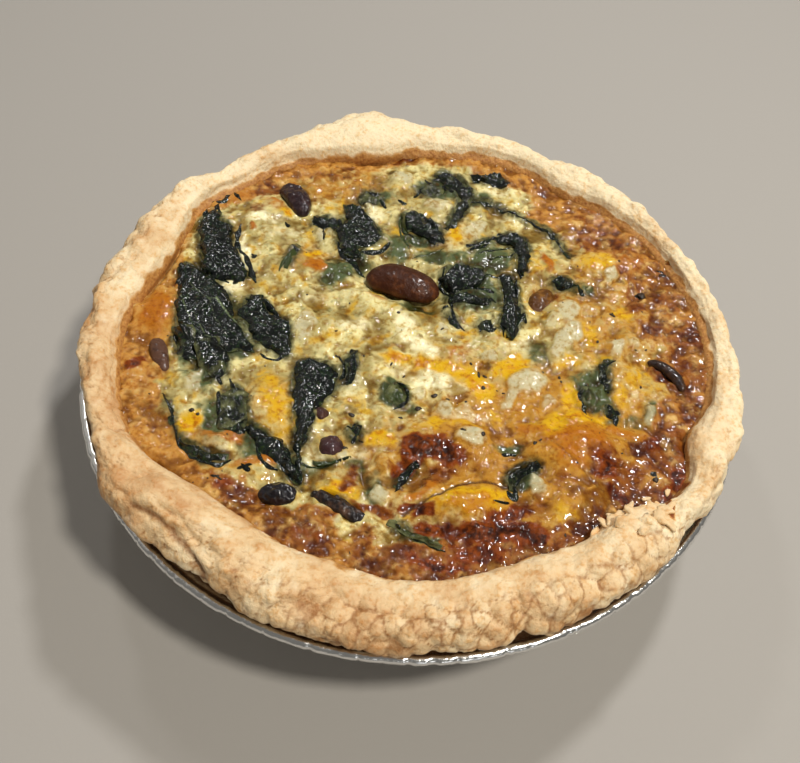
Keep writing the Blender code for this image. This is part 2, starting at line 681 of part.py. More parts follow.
def make_quiche():
    pockets = []
    for height, sunk, route in BEANS:
        pockets.append((height * sunk, smooth_route(route, BEAN_STATIONS)))
    for _, route in LEAVES:
        pockets.append((LEAF_DIP, smooth_route(route, max(3, round(route_length(route) / LEAF_STEP)))))
    make_tin()
    make_crust()
    laid = Laid(make_filling(pockets))
    for number, (height, sunk, route) in enumerate(BEANS, start=1):
        make_bean(f"bean_{number:02d}", height, sunk, route, laid)
    for number, (curl, route) in enumerate(LEAVES, start=1):
        make_leaf(f"spinach_{number:02d}", curl, route, laid)


clear_scene()
make_quiche()
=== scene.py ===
import math

import bmesh
import bpy
import numpy as np
from mathutils import Matrix, Vector
from mathutils.bvhtree import BVHTree


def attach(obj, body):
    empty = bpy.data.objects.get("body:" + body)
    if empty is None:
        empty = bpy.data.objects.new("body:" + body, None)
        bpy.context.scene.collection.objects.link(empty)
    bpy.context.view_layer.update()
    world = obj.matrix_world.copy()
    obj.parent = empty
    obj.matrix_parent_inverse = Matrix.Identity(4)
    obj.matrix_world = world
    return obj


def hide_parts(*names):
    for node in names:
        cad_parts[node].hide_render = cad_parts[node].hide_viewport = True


# A small spinach quiche standing in the round foil tin it was baked in.
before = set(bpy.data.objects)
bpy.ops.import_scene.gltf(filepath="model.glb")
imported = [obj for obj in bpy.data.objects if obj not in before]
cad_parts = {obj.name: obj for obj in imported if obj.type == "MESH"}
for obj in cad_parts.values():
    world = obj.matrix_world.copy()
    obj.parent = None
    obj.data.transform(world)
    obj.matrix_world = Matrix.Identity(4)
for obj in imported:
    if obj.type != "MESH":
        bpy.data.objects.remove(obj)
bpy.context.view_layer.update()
mm = 0.001  # every size and place below is in millimetres, and turned to metres when a mesh is made

view = {
    "target": (-2.1, -9.2, 28.0),  # the point looked at
    "distance": 216.5,
    "elevation": 52.2,  # degrees above the table
    "roll": 3.7,  # the picture is held slightly askew
    "lens": 42.75,
    "sensor": 36.0,
}

light = {
    "target": (0, 0, 20),
    "distance": 800,
    # softboxes: (name, direction it comes from, width, watts, colour)
    "boxes": (
        ("key", (0.38, -0.27, 0.90), 95, 4.0, "#fffaf0"),  # high, from the right and a little from the front
        ("fill", (-0.75, 0.35, 0.6), 900, 0.45, "#fff7ec"),
        ("back", (0.30, 0.46, 0.84), 85, 2.6, "#ffffff"),  # these two are for the glints on wet places
        ("backLeft", (-0.28, 0.60, 0.75), 80, 0.6, "#ffffff"),
        ("low", (0.25, -0.92, 0.30), 320, 0.3, "#ffffff"),  # a bright line along the rolled edge of the tin
    ),
    "room": "#f7f2ea",
    "roomStrength": 0.17,
    "floor": "#a9a49d",
    "floorHalf": 1600,
    "grains": {"tooth": (1.0, 3, 0)},  # of the floor
    "relief": (("tooth", 0.02),),
}


# Small tools

def linearColour(code):
    channels = [int(code[i:i + 2], 16) / 255 for i in (1, 3, 5)]
    return tuple(c / 12.92 if c <= 0.04045 else ((c + 0.055) / 1.055) ** 2.4 for c in channels) + (1.0,)


def smooth(t):
    t = np.clip(t, 0.0, 1.0)
    return t * t * (3 - 2 * t)


def hashed(corner, seed):
    # a repeatable number from 0 to 1 for each corner of a lattice
    c = corner.astype(np.uint32)
    h = c[:, 0] * np.uint32(374761393) + c[:, 1] * np.uint32(668265263) + c[:, 2] * np.uint32(2246822519)
    h = (h ^ np.uint32(seed * 2654435761 % 4294967296)) * np.uint32(3266489917)
    h = (h ^ (h >> np.uint32(15))) * np.uint32(2246822519)
    h = (h ^ (h >> np.uint32(13))) * np.uint32(3266489917)
    return (h ^ (h >> np.uint32(16))) / 4294967295.0


def noise(p, size, seed=0):
    # smooth gradient noise, about -1 to 1, its lumps about one size across
    q = p / size
    cell = np.floor(q).astype(np.int64)
    f = q - cell
    u = f * f * f * (f * (f * 6 - 15) + 10)
    total = np.zeros(len(q))
    for corner in np.ndindex(2, 2, 2):
        weight = np.prod(np.where(np.array(corner) == 1, u, 1 - u), axis=1)
        slope = sum((hashed(cell + corner, seed * 3 + axis) * 2 - 1) * (f[:, axis] - corner[axis])
                    for axis in range(3))
        total += weight * slope
    return total * 1.5


def fractal(p, size, octaves, seed=0):
    return sum(noise(p, size / 2 ** k, seed + 7 * k) / 2 ** k for k in range(octaves))


def cells(p, size, seed=0):
    # distance to the nearest and next nearest scattered point, in sizes, and a number for the nearest one
    q = p / size
    base = np.floor(q).astype(np.int64)
    first = np.full(len(q), 9.0)
    second = np.full(len(q), 9.0)
    tone = np.zeros(len(q))
    for step in np.ndindex(3, 3, 3):
        corner = base + np.array(step) - 1
        spot = np.stack([corner[:, axis] + hashed(corner, seed + axis) for axis in range(3)], axis=1)
        away = np.linalg.norm(q - spot, axis=1)
        nearer = away < first
        second = np.where(nearer, first, np.minimum(second, away))
        tone = np.where(nearer, hashed(corner, seed + 5), tone)
        first = np.where(nearer, away, first)
    return first, second, tone


def flat(x, y, level=0.0):
    return np.stack([x, y, np.full(len(x), float(level))], axis=1)


def patches(x, y, spots, soft=0.35):
    # 1 inside oval spots (x, y, half length, half width, turn, strength), 0 outside, with soft edges
    level = np.zeros(len(x))
    for cx, cy, long, wide, turn, strength in spots:
        c, s = math.cos(math.radians(turn)), math.sin(math.radians(turn))
        away = np.hypot((c * (x - cx) + s * (y - cy)) / long, (c * (y - cy) - s * (x - cx)) / wide)
        level = np.maximum(level, strength * smooth((1 + soft - away) / (2 * soft)))
    return level


def awayFrom(x, y, x0, y0, x1, y1):
    # distance from the stretch between two places
    dx, dy = x1 - x0, y1 - y0
    t = np.clip(((x - x0) * dx + (y - y0) * dy) / (dx * dx + dy * dy), 0, 1)
    return np.hypot(x - x0 - t * dx, y - y0 - t * dy)


def lines(x, y, routes):
    # 1 on the routes ((x, y), ... , half width, strength), falling to 0 beside them
    level = np.zeros(len(x))
    for *route, width, strength in routes:
        for here, there in zip(route, route[1:]):
            away = awayFrom(x, y, *here, *there)
            level = np.maximum(level, strength * np.exp(-(away / width) ** 2))
    return level


def roundTable(angle, table):
    # a value that changes smoothly round the circle, from (degrees, value) pairs
    degrees = np.degrees(angle) % 360
    turns = np.array([row[0] for row in table], float)
    values = np.array([row[1] for row in table], float)
    turns = np.concatenate([turns[-1:] - 360, turns, turns[:1] + 360])
    values = np.concatenate([values[-1:], values, values[:1]])
    return np.interp(degrees, turns, values)


def treeOf(*names):
    # the named nodes as one shape to cast rays at, in millimetres
    points, faces = [], []
    for name in names:
        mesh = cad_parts[name].data
        faces += [[len(points) + i for i in face.vertices] for face in mesh.polygons]
        points += [v.co / mm for v in mesh.vertices]
    return BVHTree.FromPolygons(points, faces)


def drop(tree, x, y, missing):
    # height of the shape straight below each place, from well above it
    above, down = 90, Vector((0, 0, -1))
    found = [tree.ray_cast(Vector((a, b, above)), down)[0] for a, b in zip(x, y)]
    return np.array([missing if hit is None else hit.z for hit in found])


def blurred(grid, cellsWide):
    # spreads a map by this many cells each way, three times over
    for _ in range(3):
        for axis in (0, 1):
            total = sum(np.roll(grid, shift, axis) for shift in range(-cellsWide, cellsWide + 1))
            grid = total / (2 * cellsWide + 1)
    return grid


def addNode(tree, kind, sockets=None, **settings):
    node = tree.nodes.new(kind)
    for name, value in settings.items():
        setattr(node, name, value)
    for name, value in (sockets or {}).items():
        if isinstance(value, bpy.types.NodeSocket):
            tree.links.new(value, node.inputs[name])
        else:
            node.inputs[name].default_value = value
    return node


def newMaterial(name, look, sockets):
    # its noises, from look["grains"]: (size of the lumps in millimetres, detail, distortion, stretch if any)
    made = bpy.data.materials.new(name)
    made.use_nodes = True
    tree = made.node_tree
    tree.nodes.clear()
    shader = addNode(tree, "ShaderNodeBsdfPrincipled", sockets)
    addNode(tree, "ShaderNodeOutputMaterial", {"Surface": shader.outputs[0]})
    place = addNode(tree, "ShaderNodeTexCoord").outputs["Object"]
    noises = {}
    for grain, (size, detail, distortion, *stretch) in look["grains"].items():
        where = place
        for scale in stretch:
            where = addNode(tree, "ShaderNodeMapping", {"Vector": place, "Scale": scale}).outputs[0]
        sockets = {"Vector": where, "Scale": 1 / (size * mm), "Detail": detail, "Distortion": distortion}
        noises[grain] = addNode(tree, "ShaderNodeTexNoise", sockets).outputs[0]
    return made, tree, shader, noises


def shade(tree, under, code, mask, breakUp, amount, low=0.15, high=0.85, blend="MIX"):
    # lays a colour over another where the mask is, its edge broken up by a noise
    spread = addNode(tree, "ShaderNodeMath", {0: breakUp, 1: amount, 2: -amount / 2},
                     operation="MULTIPLY_ADD")
    total = addNode(tree, "ShaderNodeMath", {0: mask, 1: spread.outputs[0]}, operation="ADD")
    edge = addNode(tree, "ShaderNodeMapRange", {"Value": total.outputs[0], "From Min": low, "From Max": high},
                   interpolation_type="SMOOTHSTEP")
    sockets = {0: edge.outputs[0], 6: under, 7: linearColour(code)}
    return addNode(tree, "ShaderNodeMix", sockets, data_type="RGBA", blend_type=blend).outputs[2]


def dress(tree, shader, noises, look):
    # colours: the surface's own, and those laid over it in turn: (colour, mask or noise that it follows,
    # noise that breaks up its edge, by how much, from, to, blend)
    if "colours" in look:
        base, *layers = look["colours"]
        colour = linearColour(base)
        for code, follows, breakUp, *rest in layers:
            if follows in noises:
                where = noises[follows]
            else:
                where = addNode(tree, "ShaderNodeAttribute", attribute_name=follows).outputs["Fac"]
            colour = shade(tree, colour, code, where, noises[breakUp], *rest)
        tree.links.new(colour, shader.inputs["Base Color"])
    # relief, and that of the clear coat: (noise, depth in millimetres), one on the other
    for key, socket in (("relief", "Normal"), ("coatRelief", "Coat Normal")):
        below = None
        for name, depth in look.get(key, ()):
            sockets = {"Height": noises[name], "Distance": depth * mm, "Strength": 1.0}
            if below is not None:
                sockets["Normal"] = below
            below = addNode(tree, "ShaderNodeBump", sockets).outputs[0]
        if below is not None:
            tree.links.new(below, shader.inputs[socket])


def makePiece(name, points, faces, material, slotName, replaced, masks=None):
    mesh = bpy.data.meshes.new(name)
    mesh.from_pydata((np.asarray(points) * mm).tolist(), [], faces)
    mesh.update()
    corners = np.array([mesh.vertices[i].co for face in mesh.polygons for i in face.vertices[:3]])
    corners = corners.reshape(-1, 3, 3)
    if np.linalg.det(corners).sum() < 0:
        mesh.flip_normals()
    mesh.shade_smooth()
    for mask, values in (masks or {}).items():
        mesh.attributes.new(mask, "FLOAT", "POINT").data.foreach_set("value", values.astype(np.float32))
    mesh.materials.append(material)
    piece = bpy.data.objects.new(name, mesh)
    bpy.context.scene.collection.objects.link(piece)
    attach(piece, "root")
    if replaced:
        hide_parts(*replaced)
    return piece


def ringAt(angles, radius, height):
    return flat(radius * np.cos(angles), radius * np.sin(angles), height)


def closedFaces(ringCount, sides):
    # faces of rings of equal length, joined in a row and closed by a fan at each end
    ring = np.arange(ringCount - 1)[:, None] * sides
    side = np.arange(sides)[None, :]
    after = (side + 1) % sides
    quads = np.stack([ring + side, ring + after, ring + sides + after, ring + sides + side], axis=-1)
    faces = quads.reshape(-1, 4).tolist()
    low, high, last = ringCount * sides, ringCount * sides + 1, (ringCount - 1) * sides
    for a in range(sides):
        b = (a + 1) % sides
        faces.append((low, b, a))
        faces.append((high, last + a, last + b))
    return faces


def joined(bodies):
    # the points and the faces of several closed bodies as those of one piece
    points, faces, count = [], [], 0
    for bodyPoints, bodyFaces in bodies:
        points.append(bodyPoints)
        faces += [tuple(count + i for i in face) for face in bodyFaces]
        count += len(bodyPoints)
    return np.vstack(points), faces


# What the solids say: the lie of the custard, and where leaves and beans cover it

leafNodes = sorted(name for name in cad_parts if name.startswith("spinach"))
beanNodes = sorted(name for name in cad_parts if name.startswith("bean"))
lie = {
    "reach": 78.0,
    "cell": 0.5,
    "level": 32.2,  # the custard's height where there is none below
}
steps = int(2 * lie["reach"] / lie["cell"]) + 1
span = np.linspace(-lie["reach"], lie["reach"], steps)
gridX, gridY = np.meshgrid(span, span)


def mapOf(names, missing):
    # height of the named nodes, all over the quiche
    return drop(treeOf(*names), gridX.ravel(), gridY.ravel(), missing).reshape(steps, steps)


custardMap = blurred(mapOf(["filling"], lie["level"]), 1)
leafMap, beanMap = ((mapOf(names, 0) > 1).astype(float) for names in (leafNodes, beanNodes))
leafNear, beanNear, leafWide = blurred(leafMap, 2), blurred(beanMap, 2), blurred(leafMap, 5)


def sample(grid, x, y):
    # a map's value at each place, between its cells
    u = np.clip((x + lie["reach"]) / lie["cell"], 0, steps - 1.001)
    v = np.clip((y + lie["reach"]) / lie["cell"], 0, steps - 1.001)
    i, j = u.astype(int), v.astype(int)
    a, b = u - i, v - j
    return ((1 - b) * ((1 - a) * grid[j, i] + a * grid[j, i + 1])
            + b * ((1 - a) * grid[j + 1, i] + a * grid[j + 1, i + 1]))


print("read the solids:", len(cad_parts), "nodes")


# Pastry case: shortcrust rolled by hand over the tin's edge and baked pale

crustLook = {
    "sides": 1000,  # points round the circle
    "steps": 66,  # points round the rolled section
    "firstTurn": -76.0,  # round the rolled section, from under its outer side...
    "lastTurn": 196.0,  # ...over the top and down inside, below the custard
    "middleHeight": 32.2,
    "wallHeights": (4, 25, 27.6),  # of its lining in the tin: foot, top, and just under the roll
    # round the circle, how much slimmer it is than the solid: (degrees, mm)
    "slimmer": (
        (0, 1.2), (15, 0.7), (30, 1.1), (60, 1.2), (88, 1.4), (98, 0.5), (106, -0.1), (116, 0.5),
        (125, 1.0), (140, 1.5), (155, 0.9), (170, 1.3), (190, 0.7), (210, 0.9), (222, 0.1), (250, 0.2),
        (300, 0.2), (335, 0.4)),
    # and how cobbled, how flaky and how much toast the dough has, that toast also holding painted light and
    # shade, paler on the lit right and back and darker at the shaded front left: (degrees, share)
    "cobbled": ((0, 0.5), (40, 0.6), (90, 0.4), (150, 0.6), (180, 0.7), (215, 0.45), (240, 0.6),
                (262, 1.0), (300, 1.0), (330, 0.6)),
    "flaky": ((0, 0.5), (90, 0.5), (150, 0.8), (200, 1.0), (235, 1.3), (255, 0.8), (300, 0.5)),
    "toastLightAndShade": ((0, -0.35), (45, -0.4), (90, -0.35), (130, -0.25), (170, 0.08), (205, 0.2), (235, 0.25),
                (262, 0.15), (300, 0.15), (325, 0.05), (345, -0.25)),
    # relief: (depth, size)
    "lumps": (0.6, 8.0),
    "cobbles": (1.25, 3.8),
    "smallCobbles": (0.55, 1.9),
    "flakes": (0.18, 1.05),
    "grain": (0.10, 0.8),
    "crumbs": (0.9, 2.6),
    "crumbSlits": (0.5, 2.2),
    "ledges": 0.22,
    "crackDepth": 0.8,
    # places: (x, y, half length, half width, turn, strength)
    "drips": (
        (53.6, -41.6, 0.7, 4.2, 6, 1.4), (57.4, -34.4, 2.2, 1.4, -50, 1.3),
        (55.8, -37.6, 1.0, 1.8, -20, 1.1)),
    "crumbly": ((49, -43, 9, 5, 35, 1), (-7, -61, 9, 3, 0, 0.5), (62, -22, 3, 14, 8, 0.4)),
    # ((x, y), ..., half width, strength)
    "cracks": (
        ((-53, -50), (-46, -53.6), (-40, -59.6), (-35.6, -66), 1.0, 1.0),
        ((-47, -50.6), (-42, -53.4), (-38.6, -58), 0.8, 0.6),
        ((-40, -57.5), (-34, -62.5), (-29, -68), 0.7, 0.5),
        ((-62, -32), (-59, -30.8), (-55, -30.3), 0.35, 1.0),
        ((-64.5, -25), (-60, -24.6), 0.3, 0.8),
        ((-49, -38.4), (-46.4, -39.4), 0.3, 0.8),
        ((-12, -58), (-9, -58.4), (-6, -58.6), (-3, -59.6), 0.32, 0.9),
        ((-27, -53.6), (-24, -54.4), (-20, -54.8), 0.3, 0.7),
        ((-55.5, -42.5), (-53, -44.4), (-50.5, -43), (-51.5, -40.4), 0.45, 0.6),
        ((-6, -62.6), (-4.6, -62.8), 0.3, 0.8),
        ((47, -43.6), (49, -45), (46, -46.4), 0.35, 0.7),
        ((68.5, -24), (69, -30), 0.3, 0.6),
        ((22, -64), (24, -69), (23.5, -73), 0.35, 0.6),
        ((-24, 70), (-19, 74.5), (-12, 76), 0.5, 0.6),
        ((-27, 72), (-26, 76), 0.45, 0.6),
    ),
    "grains": {"wide": (5.0, 3, 0), "mid": (1.9, 4, 0), "fine": (0.7, 3, 0)},
    "relief": (("mid", 0.40), ("fine", 0.22)),
    "colours": (
        "#f6e2ba",
        # toast with painted light and shade: paler on the lit right and back, darker at the shaded front left
        ("#e5c392", "toastLightAndShade", "mid", 0.6, 0.15, 0.75),
        ("#cc9d6a", "toastLightAndShade", "mid", 0.9, 0.6, 1.25),
        ("#faebcc", "wide", "fine", 0.4, 0.55, 1.0),
        ("#f3dfc2", "fine", "mid", 0.9, 0.45, 0.85, "MULTIPLY"),
        # painted shade in the crevices between the cobbles and in the flaky slits
        ("#9c6a3a", "paintedCreviceShade", "fine", 0.6, 0.25, 1.15),
        ("#cc9550", "stain", "mid", 0.8, 0.3, 1.0),
        ("#8a4a1c", "stain", "fine", 0.6, 0.8, 1.3),
        # painted shade down in the cracks
        ("#8a5a32", "crack", "fine", 0.3, 0.4, 1.2),
        ("#865a34", "under", "fine", 0.2, 0.3, 1.0),
    ),
}


def crustSection(tree, angles, turns):
    # middle line of the solid's roll, and how far from it the solid reaches at each turn round it
    sides, count, z0 = len(angles), len(turns), crustLook["middleHeight"]
    inner, outer = np.zeros(sides), np.zeros(sides)
    for k, a in enumerate(angles):
        ray = Vector((math.cos(a), math.sin(a), 0))
        inner[k] = tree.ray_cast(Vector((0, 0, z0 + 0.6)), ray)[0].xy.length
        outer[k] = tree.ray_cast(ray * 120 + Vector((0, 0, z0)), -ray)[0].xy.length
    middle = (inner + outer) / 2
    middle = sum(np.roll(middle, k) for k in range(-12, 13)) / 25
    reach = np.zeros((count, sides))
    for j, turn in enumerate(turns):
        for k, a in enumerate(angles):
            ray = Vector((math.cos(turn) * math.cos(a), math.cos(turn) * math.sin(a), math.sin(turn)))
            start = Vector((middle[k] * math.cos(a), middle[k] * math.sin(a), z0))
            reach[j, k] = tree.ray_cast(start, ray)[3]
    for _ in range(2):  # takes the facets off the solid
        reach = sum(np.roll(reach, k, 1) for k in range(-2, 3)) / 5
        padded = np.vstack([reach[:1], reach, reach[-1:]])
        reach = (padded[:-2] + 2 * padded[1:-1] + padded[2:]) / 4
    return middle, reach


def crustLining(tree):
    # hidden below: (radius, height) rings of the wall in the tin, and of the inside under the custard
    def wallRadius(height, fromOutside):
        a = Vector((1, 0, 0))
        start = Vector((100, 0, height)) if fromOutside else Vector((0, 0, height))
        return tree.ray_cast(start, -a if fromOutside else a)[0].x

    foot, top, lip = crustLook["wallHeights"]
    floorTop = tree.ray_cast(Vector((0, 0, 60)), Vector((0, 0, -1)))[0].z
    floorLow = tree.ray_cast(Vector((0, 0, -60)), Vector((0, 0, 1)))[0].z
    below = [(wallRadius(floorLow + 0.4, True) - 1.5, floorLow), (wallRadius(foot, True), foot),
             (wallRadius(top, True), top), (wallRadius(top, True) + 0.5, lip)]
    inside = [(wallRadius(top, False), top), (wallRadius(floorTop + 1, False), floorTop + 0.6),
              (wallRadius(floorTop + 1, False) - 2, floorTop)]
    return below, inside


def makeCrust():
    tree = treeOf("crust")
    sides, count, z0 = crustLook["sides"], crustLook["steps"], crustLook["middleHeight"]
    angles = np.linspace(0, 2 * np.pi, sides, endpoint=False)
    turns = np.radians(np.linspace(crustLook["firstTurn"], crustLook["lastTurn"], count))
    middle, reach = crustSection(tree, angles, turns)
    turnGrid = np.repeat(turns[:, None], sides, 1)
    angleGrid = np.repeat(angles[None, :], count, 0)
    outward = np.stack([np.cos(turnGrid) * np.cos(angleGrid), np.cos(turnGrid) * np.sin(angleGrid),
                        np.sin(turnGrid)], axis=-1).reshape(-1, 3)
    centre = np.stack([middle[None, :] * np.cos(angleGrid), middle[None, :] * np.sin(angleGrid),
                       np.full(angleGrid.shape, z0)], axis=-1).reshape(-1, 3)
    reach = reach.ravel()
    p = centre + outward * reach[:, None]
    turn = np.degrees(turnGrid.ravel())
    angle = angleGrid.ravel()
    x, y = p[:, 0], p[:, 1]

    # how rough the dough is: most on the outer side, least where it slopes down to the custard
    free = smooth((turn + 66) / 26) * (1 - 0.35 * smooth((turn - 80) / 60)) * smooth((190 - turn) / 20)
    cobbled = roundTable(angle, crustLook["cobbled"]) * (1 - 0.5 * smooth((turn - 60) / 50))
    flaky = roundTable(angle, crustLook["flaky"])
    along = np.radians(turn) * 6.5
    warp = np.stack([noise(p, 3.0, 60 + k) for k in range(3)], axis=1)
    depth, size = crustLook["lumps"]
    relief = depth * fractal(p, size, 2, 1) - roundTable(angle, crustLook["slimmer"])
    depth, size = crustLook["cobbles"]
    near, following, cobbleTone = cells(p + 0.7 * warp, size, 11)
    relief += depth * cobbled * (0.6 - 1.3 * near ** 1.8)
    depth, size = crustLook["smallCobbles"]
    near2, following2, _ = cells(p + 0.5 * warp, size, 31)
    relief += depth * cobbled * (0.5 - near2)
    depth, size = crustLook["flakes"]
    stretched = np.stack([x / 5.5, y / 5.5, (along + 0.8 * warp[:, 0]) / size / 1.6], axis=1)
    seam = np.abs(noise(stretched, 1.0, 41))
    slit = smooth(1 - seam / 0.09)
    relief -= depth * flaky * slit
    relief += crustLook["ledges"] * flaky * noise(stretched * (1, 1, 0.6), 1.0, 47)
    depth, size = crustLook["grain"]
    relief += depth * fractal(p, size, 2, 51)
    xw, yw = x + 0.5 * warp[:, 0], y + 0.5 * warp[:, 1]
    # cracks: sunk into the dough, and darkened in the colour as painted shade
    crack = lines(xw, yw, crustLook["cracks"]) * smooth((turn + 20) / 20)
    crumbly = patches(x, y, crustLook["crumbly"], 0.6) * smooth((turn + 20) / 20)
    (depth, size), (slitDepth, slitSize) = crustLook["crumbs"], crustLook["crumbSlits"]
    relief += crumbly * (depth * fractal(p, size, 3, 61)
                         - slitDepth * smooth(1 - np.abs(noise(p, slitSize, 63)) / 0.12))
    sunk = crustLook["crackDepth"] * crack * smooth((turn + 40) / 30)
    p = p + outward * (free * relief - sunk)[:, None]

    # painted shade: the borders between cobbles and the flaky slits, darkened in the colour
    borders = np.maximum(smooth(1 - (following - near) / 0.22), 0.6 * smooth(1 - (following2 - near2) / 0.24))
    masks = {
        # toast, with painted light and shade round the rim from the table
        "toastLightAndShade": (0.5 + 0.5 * fractal(p, 13, 3, 71) + 0.35 * (cobbleTone - 0.5) * cobbled
                    + roundTable(angle, crustLook["toastLightAndShade"]) + 0.12 * smooth((20 - turn) / 60)),
        "paintedCreviceShade": np.clip(0.9 * borders * cobbled * free + 0.4 * slit * flaky * free, 0, 1),
        "crack": crack,
        "stain": smooth((turn - 158 + 14 * noise(p, 3.2, 81)) / 16),
        "under": smooth((-12 - turn) / 34),
    }
    drips = patches(xw, yw, crustLook["drips"]) * smooth((turn - 20) / 30)
    masks["stain"] = np.maximum(masks["stain"], drips)

    below, inside = crustLining(tree)
    points = np.vstack([ringAt(angles, *ring) for ring in below] + [p]
                       + [ringAt(angles, *ring) for ring in inside]
                       + [np.array([[0, 0, below[0][1]], [0, 0, inside[-1][1]]])])
    pad = (len(below) * sides, len(inside) * sides + 2)
    masks = {name: np.pad(values, pad) for name, values in masks.items()}
    faces = closedFaces(len(below) + count + len(inside), sides)

    # shortcrust: flour and fat, dry and matt, cream where thick and golden where it caught the heat, with
    # painted shade in its crevices and cracks and painted light and shade round the rim
    material, tree, shader, noises = newMaterial("bakedShortcrustHandRolled", crustLook, {
        "Roughness": 0.55, "IOR": 1.45, "Specular IOR Level": 0.4,
        "Subsurface Weight": 0.06, "Subsurface Scale": 1.0 * mm, "Subsurface Radius": (1.0, 0.7, 0.4)})
    dress(tree, shader, noises, crustLook)
    return makePiece("pastryCase", points, faces, material, "pastry", ["crust"], masks)


crustMaterial = makeCrust().data.materials[0]
print("rolled the pastry case")


# Foil tin: thin pressed aluminium, pleated wall, narrow flange and a rolled edge

tinLook = {
    "sides": 1152,  # points round the circle
    "pleats": 96,
    "pleatDepth": 0.42,
    "pleatFade": (0.08, 0.06),  # where the pleats begin and end, as shares of the wall
    "hub": 4,  # radius of the innermost ring of points
    "foil": 0.5,  # thickness
    "base": 54.5,  # radius of the flat base
    "corner": (56.5, 2.4),  # (radius, height) of the wall's foot, of its top and of the rolled edge's middle
    "wallTop": (69.6, 25.8),
    "edge": (74.2, 27.4),
    "flange": 1.0,  # how far the flange lies above the wall's top
    "roll": 1.05,  # radius of the rolled edge
    "dents": 0.16,
    "sheen": (0.14, 0.30),  # roughness of the smooth places and of the wrinkled ones
    "grains": {"wrinkles": (2.2, 4, 0), "brushed": (2.4, 2, 0, (1, 14, 1))},
    "relief": (("wrinkles", 0.28), ("brushed", 0.02)),
}


def makeTin():
    sides = tinLook["sides"]
    angles = np.linspace(0, 2 * np.pi, sides, endpoint=False)
    half, roll = tinLook["foil"] / 2, tinLook["roll"]
    (cornerR, cornerZ), (wallR, wallZ) = tinLook["corner"], tinLook["wallTop"]
    edgeR, edgeZ = tinLook["edge"]
    flangeZ = wallZ + tinLook["flange"]
    fadeLow, fadeHigh = tinLook["pleatFade"]

    def wallPoint(t, side):
        # a share of the way up the wall, outside (1) or inside (-1)
        pleated = smooth(np.array(min(t / fadeLow, (1 - t) / fadeHigh))).item()
        return cornerR + side * half + t * (wallR - cornerR), cornerZ + t * (wallZ - cornerZ), pleated, 0

    # the foil's section: (radius, height, share of pleats, share of dents)
    profile = [(tinLook["hub"], 0.0, 0, 0), (tinLook["base"] - 1.5, 0.0, 0, 0),
               (tinLook["base"], 0.12, 0.1, 0), (tinLook["base"] + 1.2, 0.7, 0.5, 0)]
    profile += [wallPoint(t, 1) for t in np.linspace(0, 1, 12)]
    profile += [(wallR + 1.2, flangeZ - 0.35, 0.05, 0.1), (edgeR - roll - 0.3, flangeZ - 0.3, 0, 0.5)]
    for turn in np.radians(np.linspace(-150, 190, 15)):  # round the rolled edge
        profile.append((edgeR + roll * math.cos(turn), edgeZ + roll * math.sin(turn), 0, 1))
    profile += [(edgeR - roll - 0.7, flangeZ + half, 0, 0.3), (wallR + 0.9, flangeZ + half, 0, 0)]
    profile += [wallPoint(t, -1) for t in np.linspace(1, 0, 12)]
    profile += [(tinLook["base"] - 0.4, tinLook["foil"], 0, 0), (tinLook["hub"], tinLook["foil"], 0, 0)]
    rings = []
    pleat = np.abs(np.sin(tinLook["pleats"] / 2 * angles)) ** 0.7 * 2 - 1.2
    pinch = smooth(1 - np.abs(noise(np.stack([angles * 16, angles * 0, angles * 0], axis=1), 1.0, 5)) / 0.05)
    for radius, height, pleated, dented in profile:
        ring = ringAt(angles, radius, height)
        dent = fractal(ring, 5.0, 2, 3) + 0.7 * np.abs(noise(ring, 1.6, 9))
        swell = tinLook["pleatDepth"] * pleated * pleat + tinLook["dents"] * dented * (dent - 1.6 * pinch)
        ring[:, 0] += swell * np.cos(angles)
        ring[:, 1] += swell * np.sin(angles)
        ring[:, 2] += 0.6 * tinLook["dents"] * dented * (fractal(ring, 3.4, 2, 13) - 0.6 * pinch)
        rings.append(ring)
    points = np.vstack(rings + [np.array([[0, 0, 0.0], [0, 0, tinLook["foil"]]])])
    # rolled aluminium foil: bright, faintly brushed by the rolling, with a soft broken mirror
    material, tree, shader, noises = newMaterial("pressedAluminiumFoil", tinLook, {
        "Base Color": linearColour("#eeeeec"), "Metallic": 1.0, "Roughness": 0.27})
    low, high = tinLook["sheen"]
    sheen = addNode(tree, "ShaderNodeMapRange", {"Value": noises["wrinkles"], "To Min": low, "To Max": high})
    tree.links.new(sheen.outputs[0], shader.inputs["Roughness"])
    dress(tree, shader, noises, tinLook)
    faces = closedFaces(len(rings), sides)
    return makePiece("foilTin", points, faces, material, "foil", ["foil_tin"])


makeTin()
print("pressed the foil tin")


# Custard: set egg and melted cheese, browned in patches

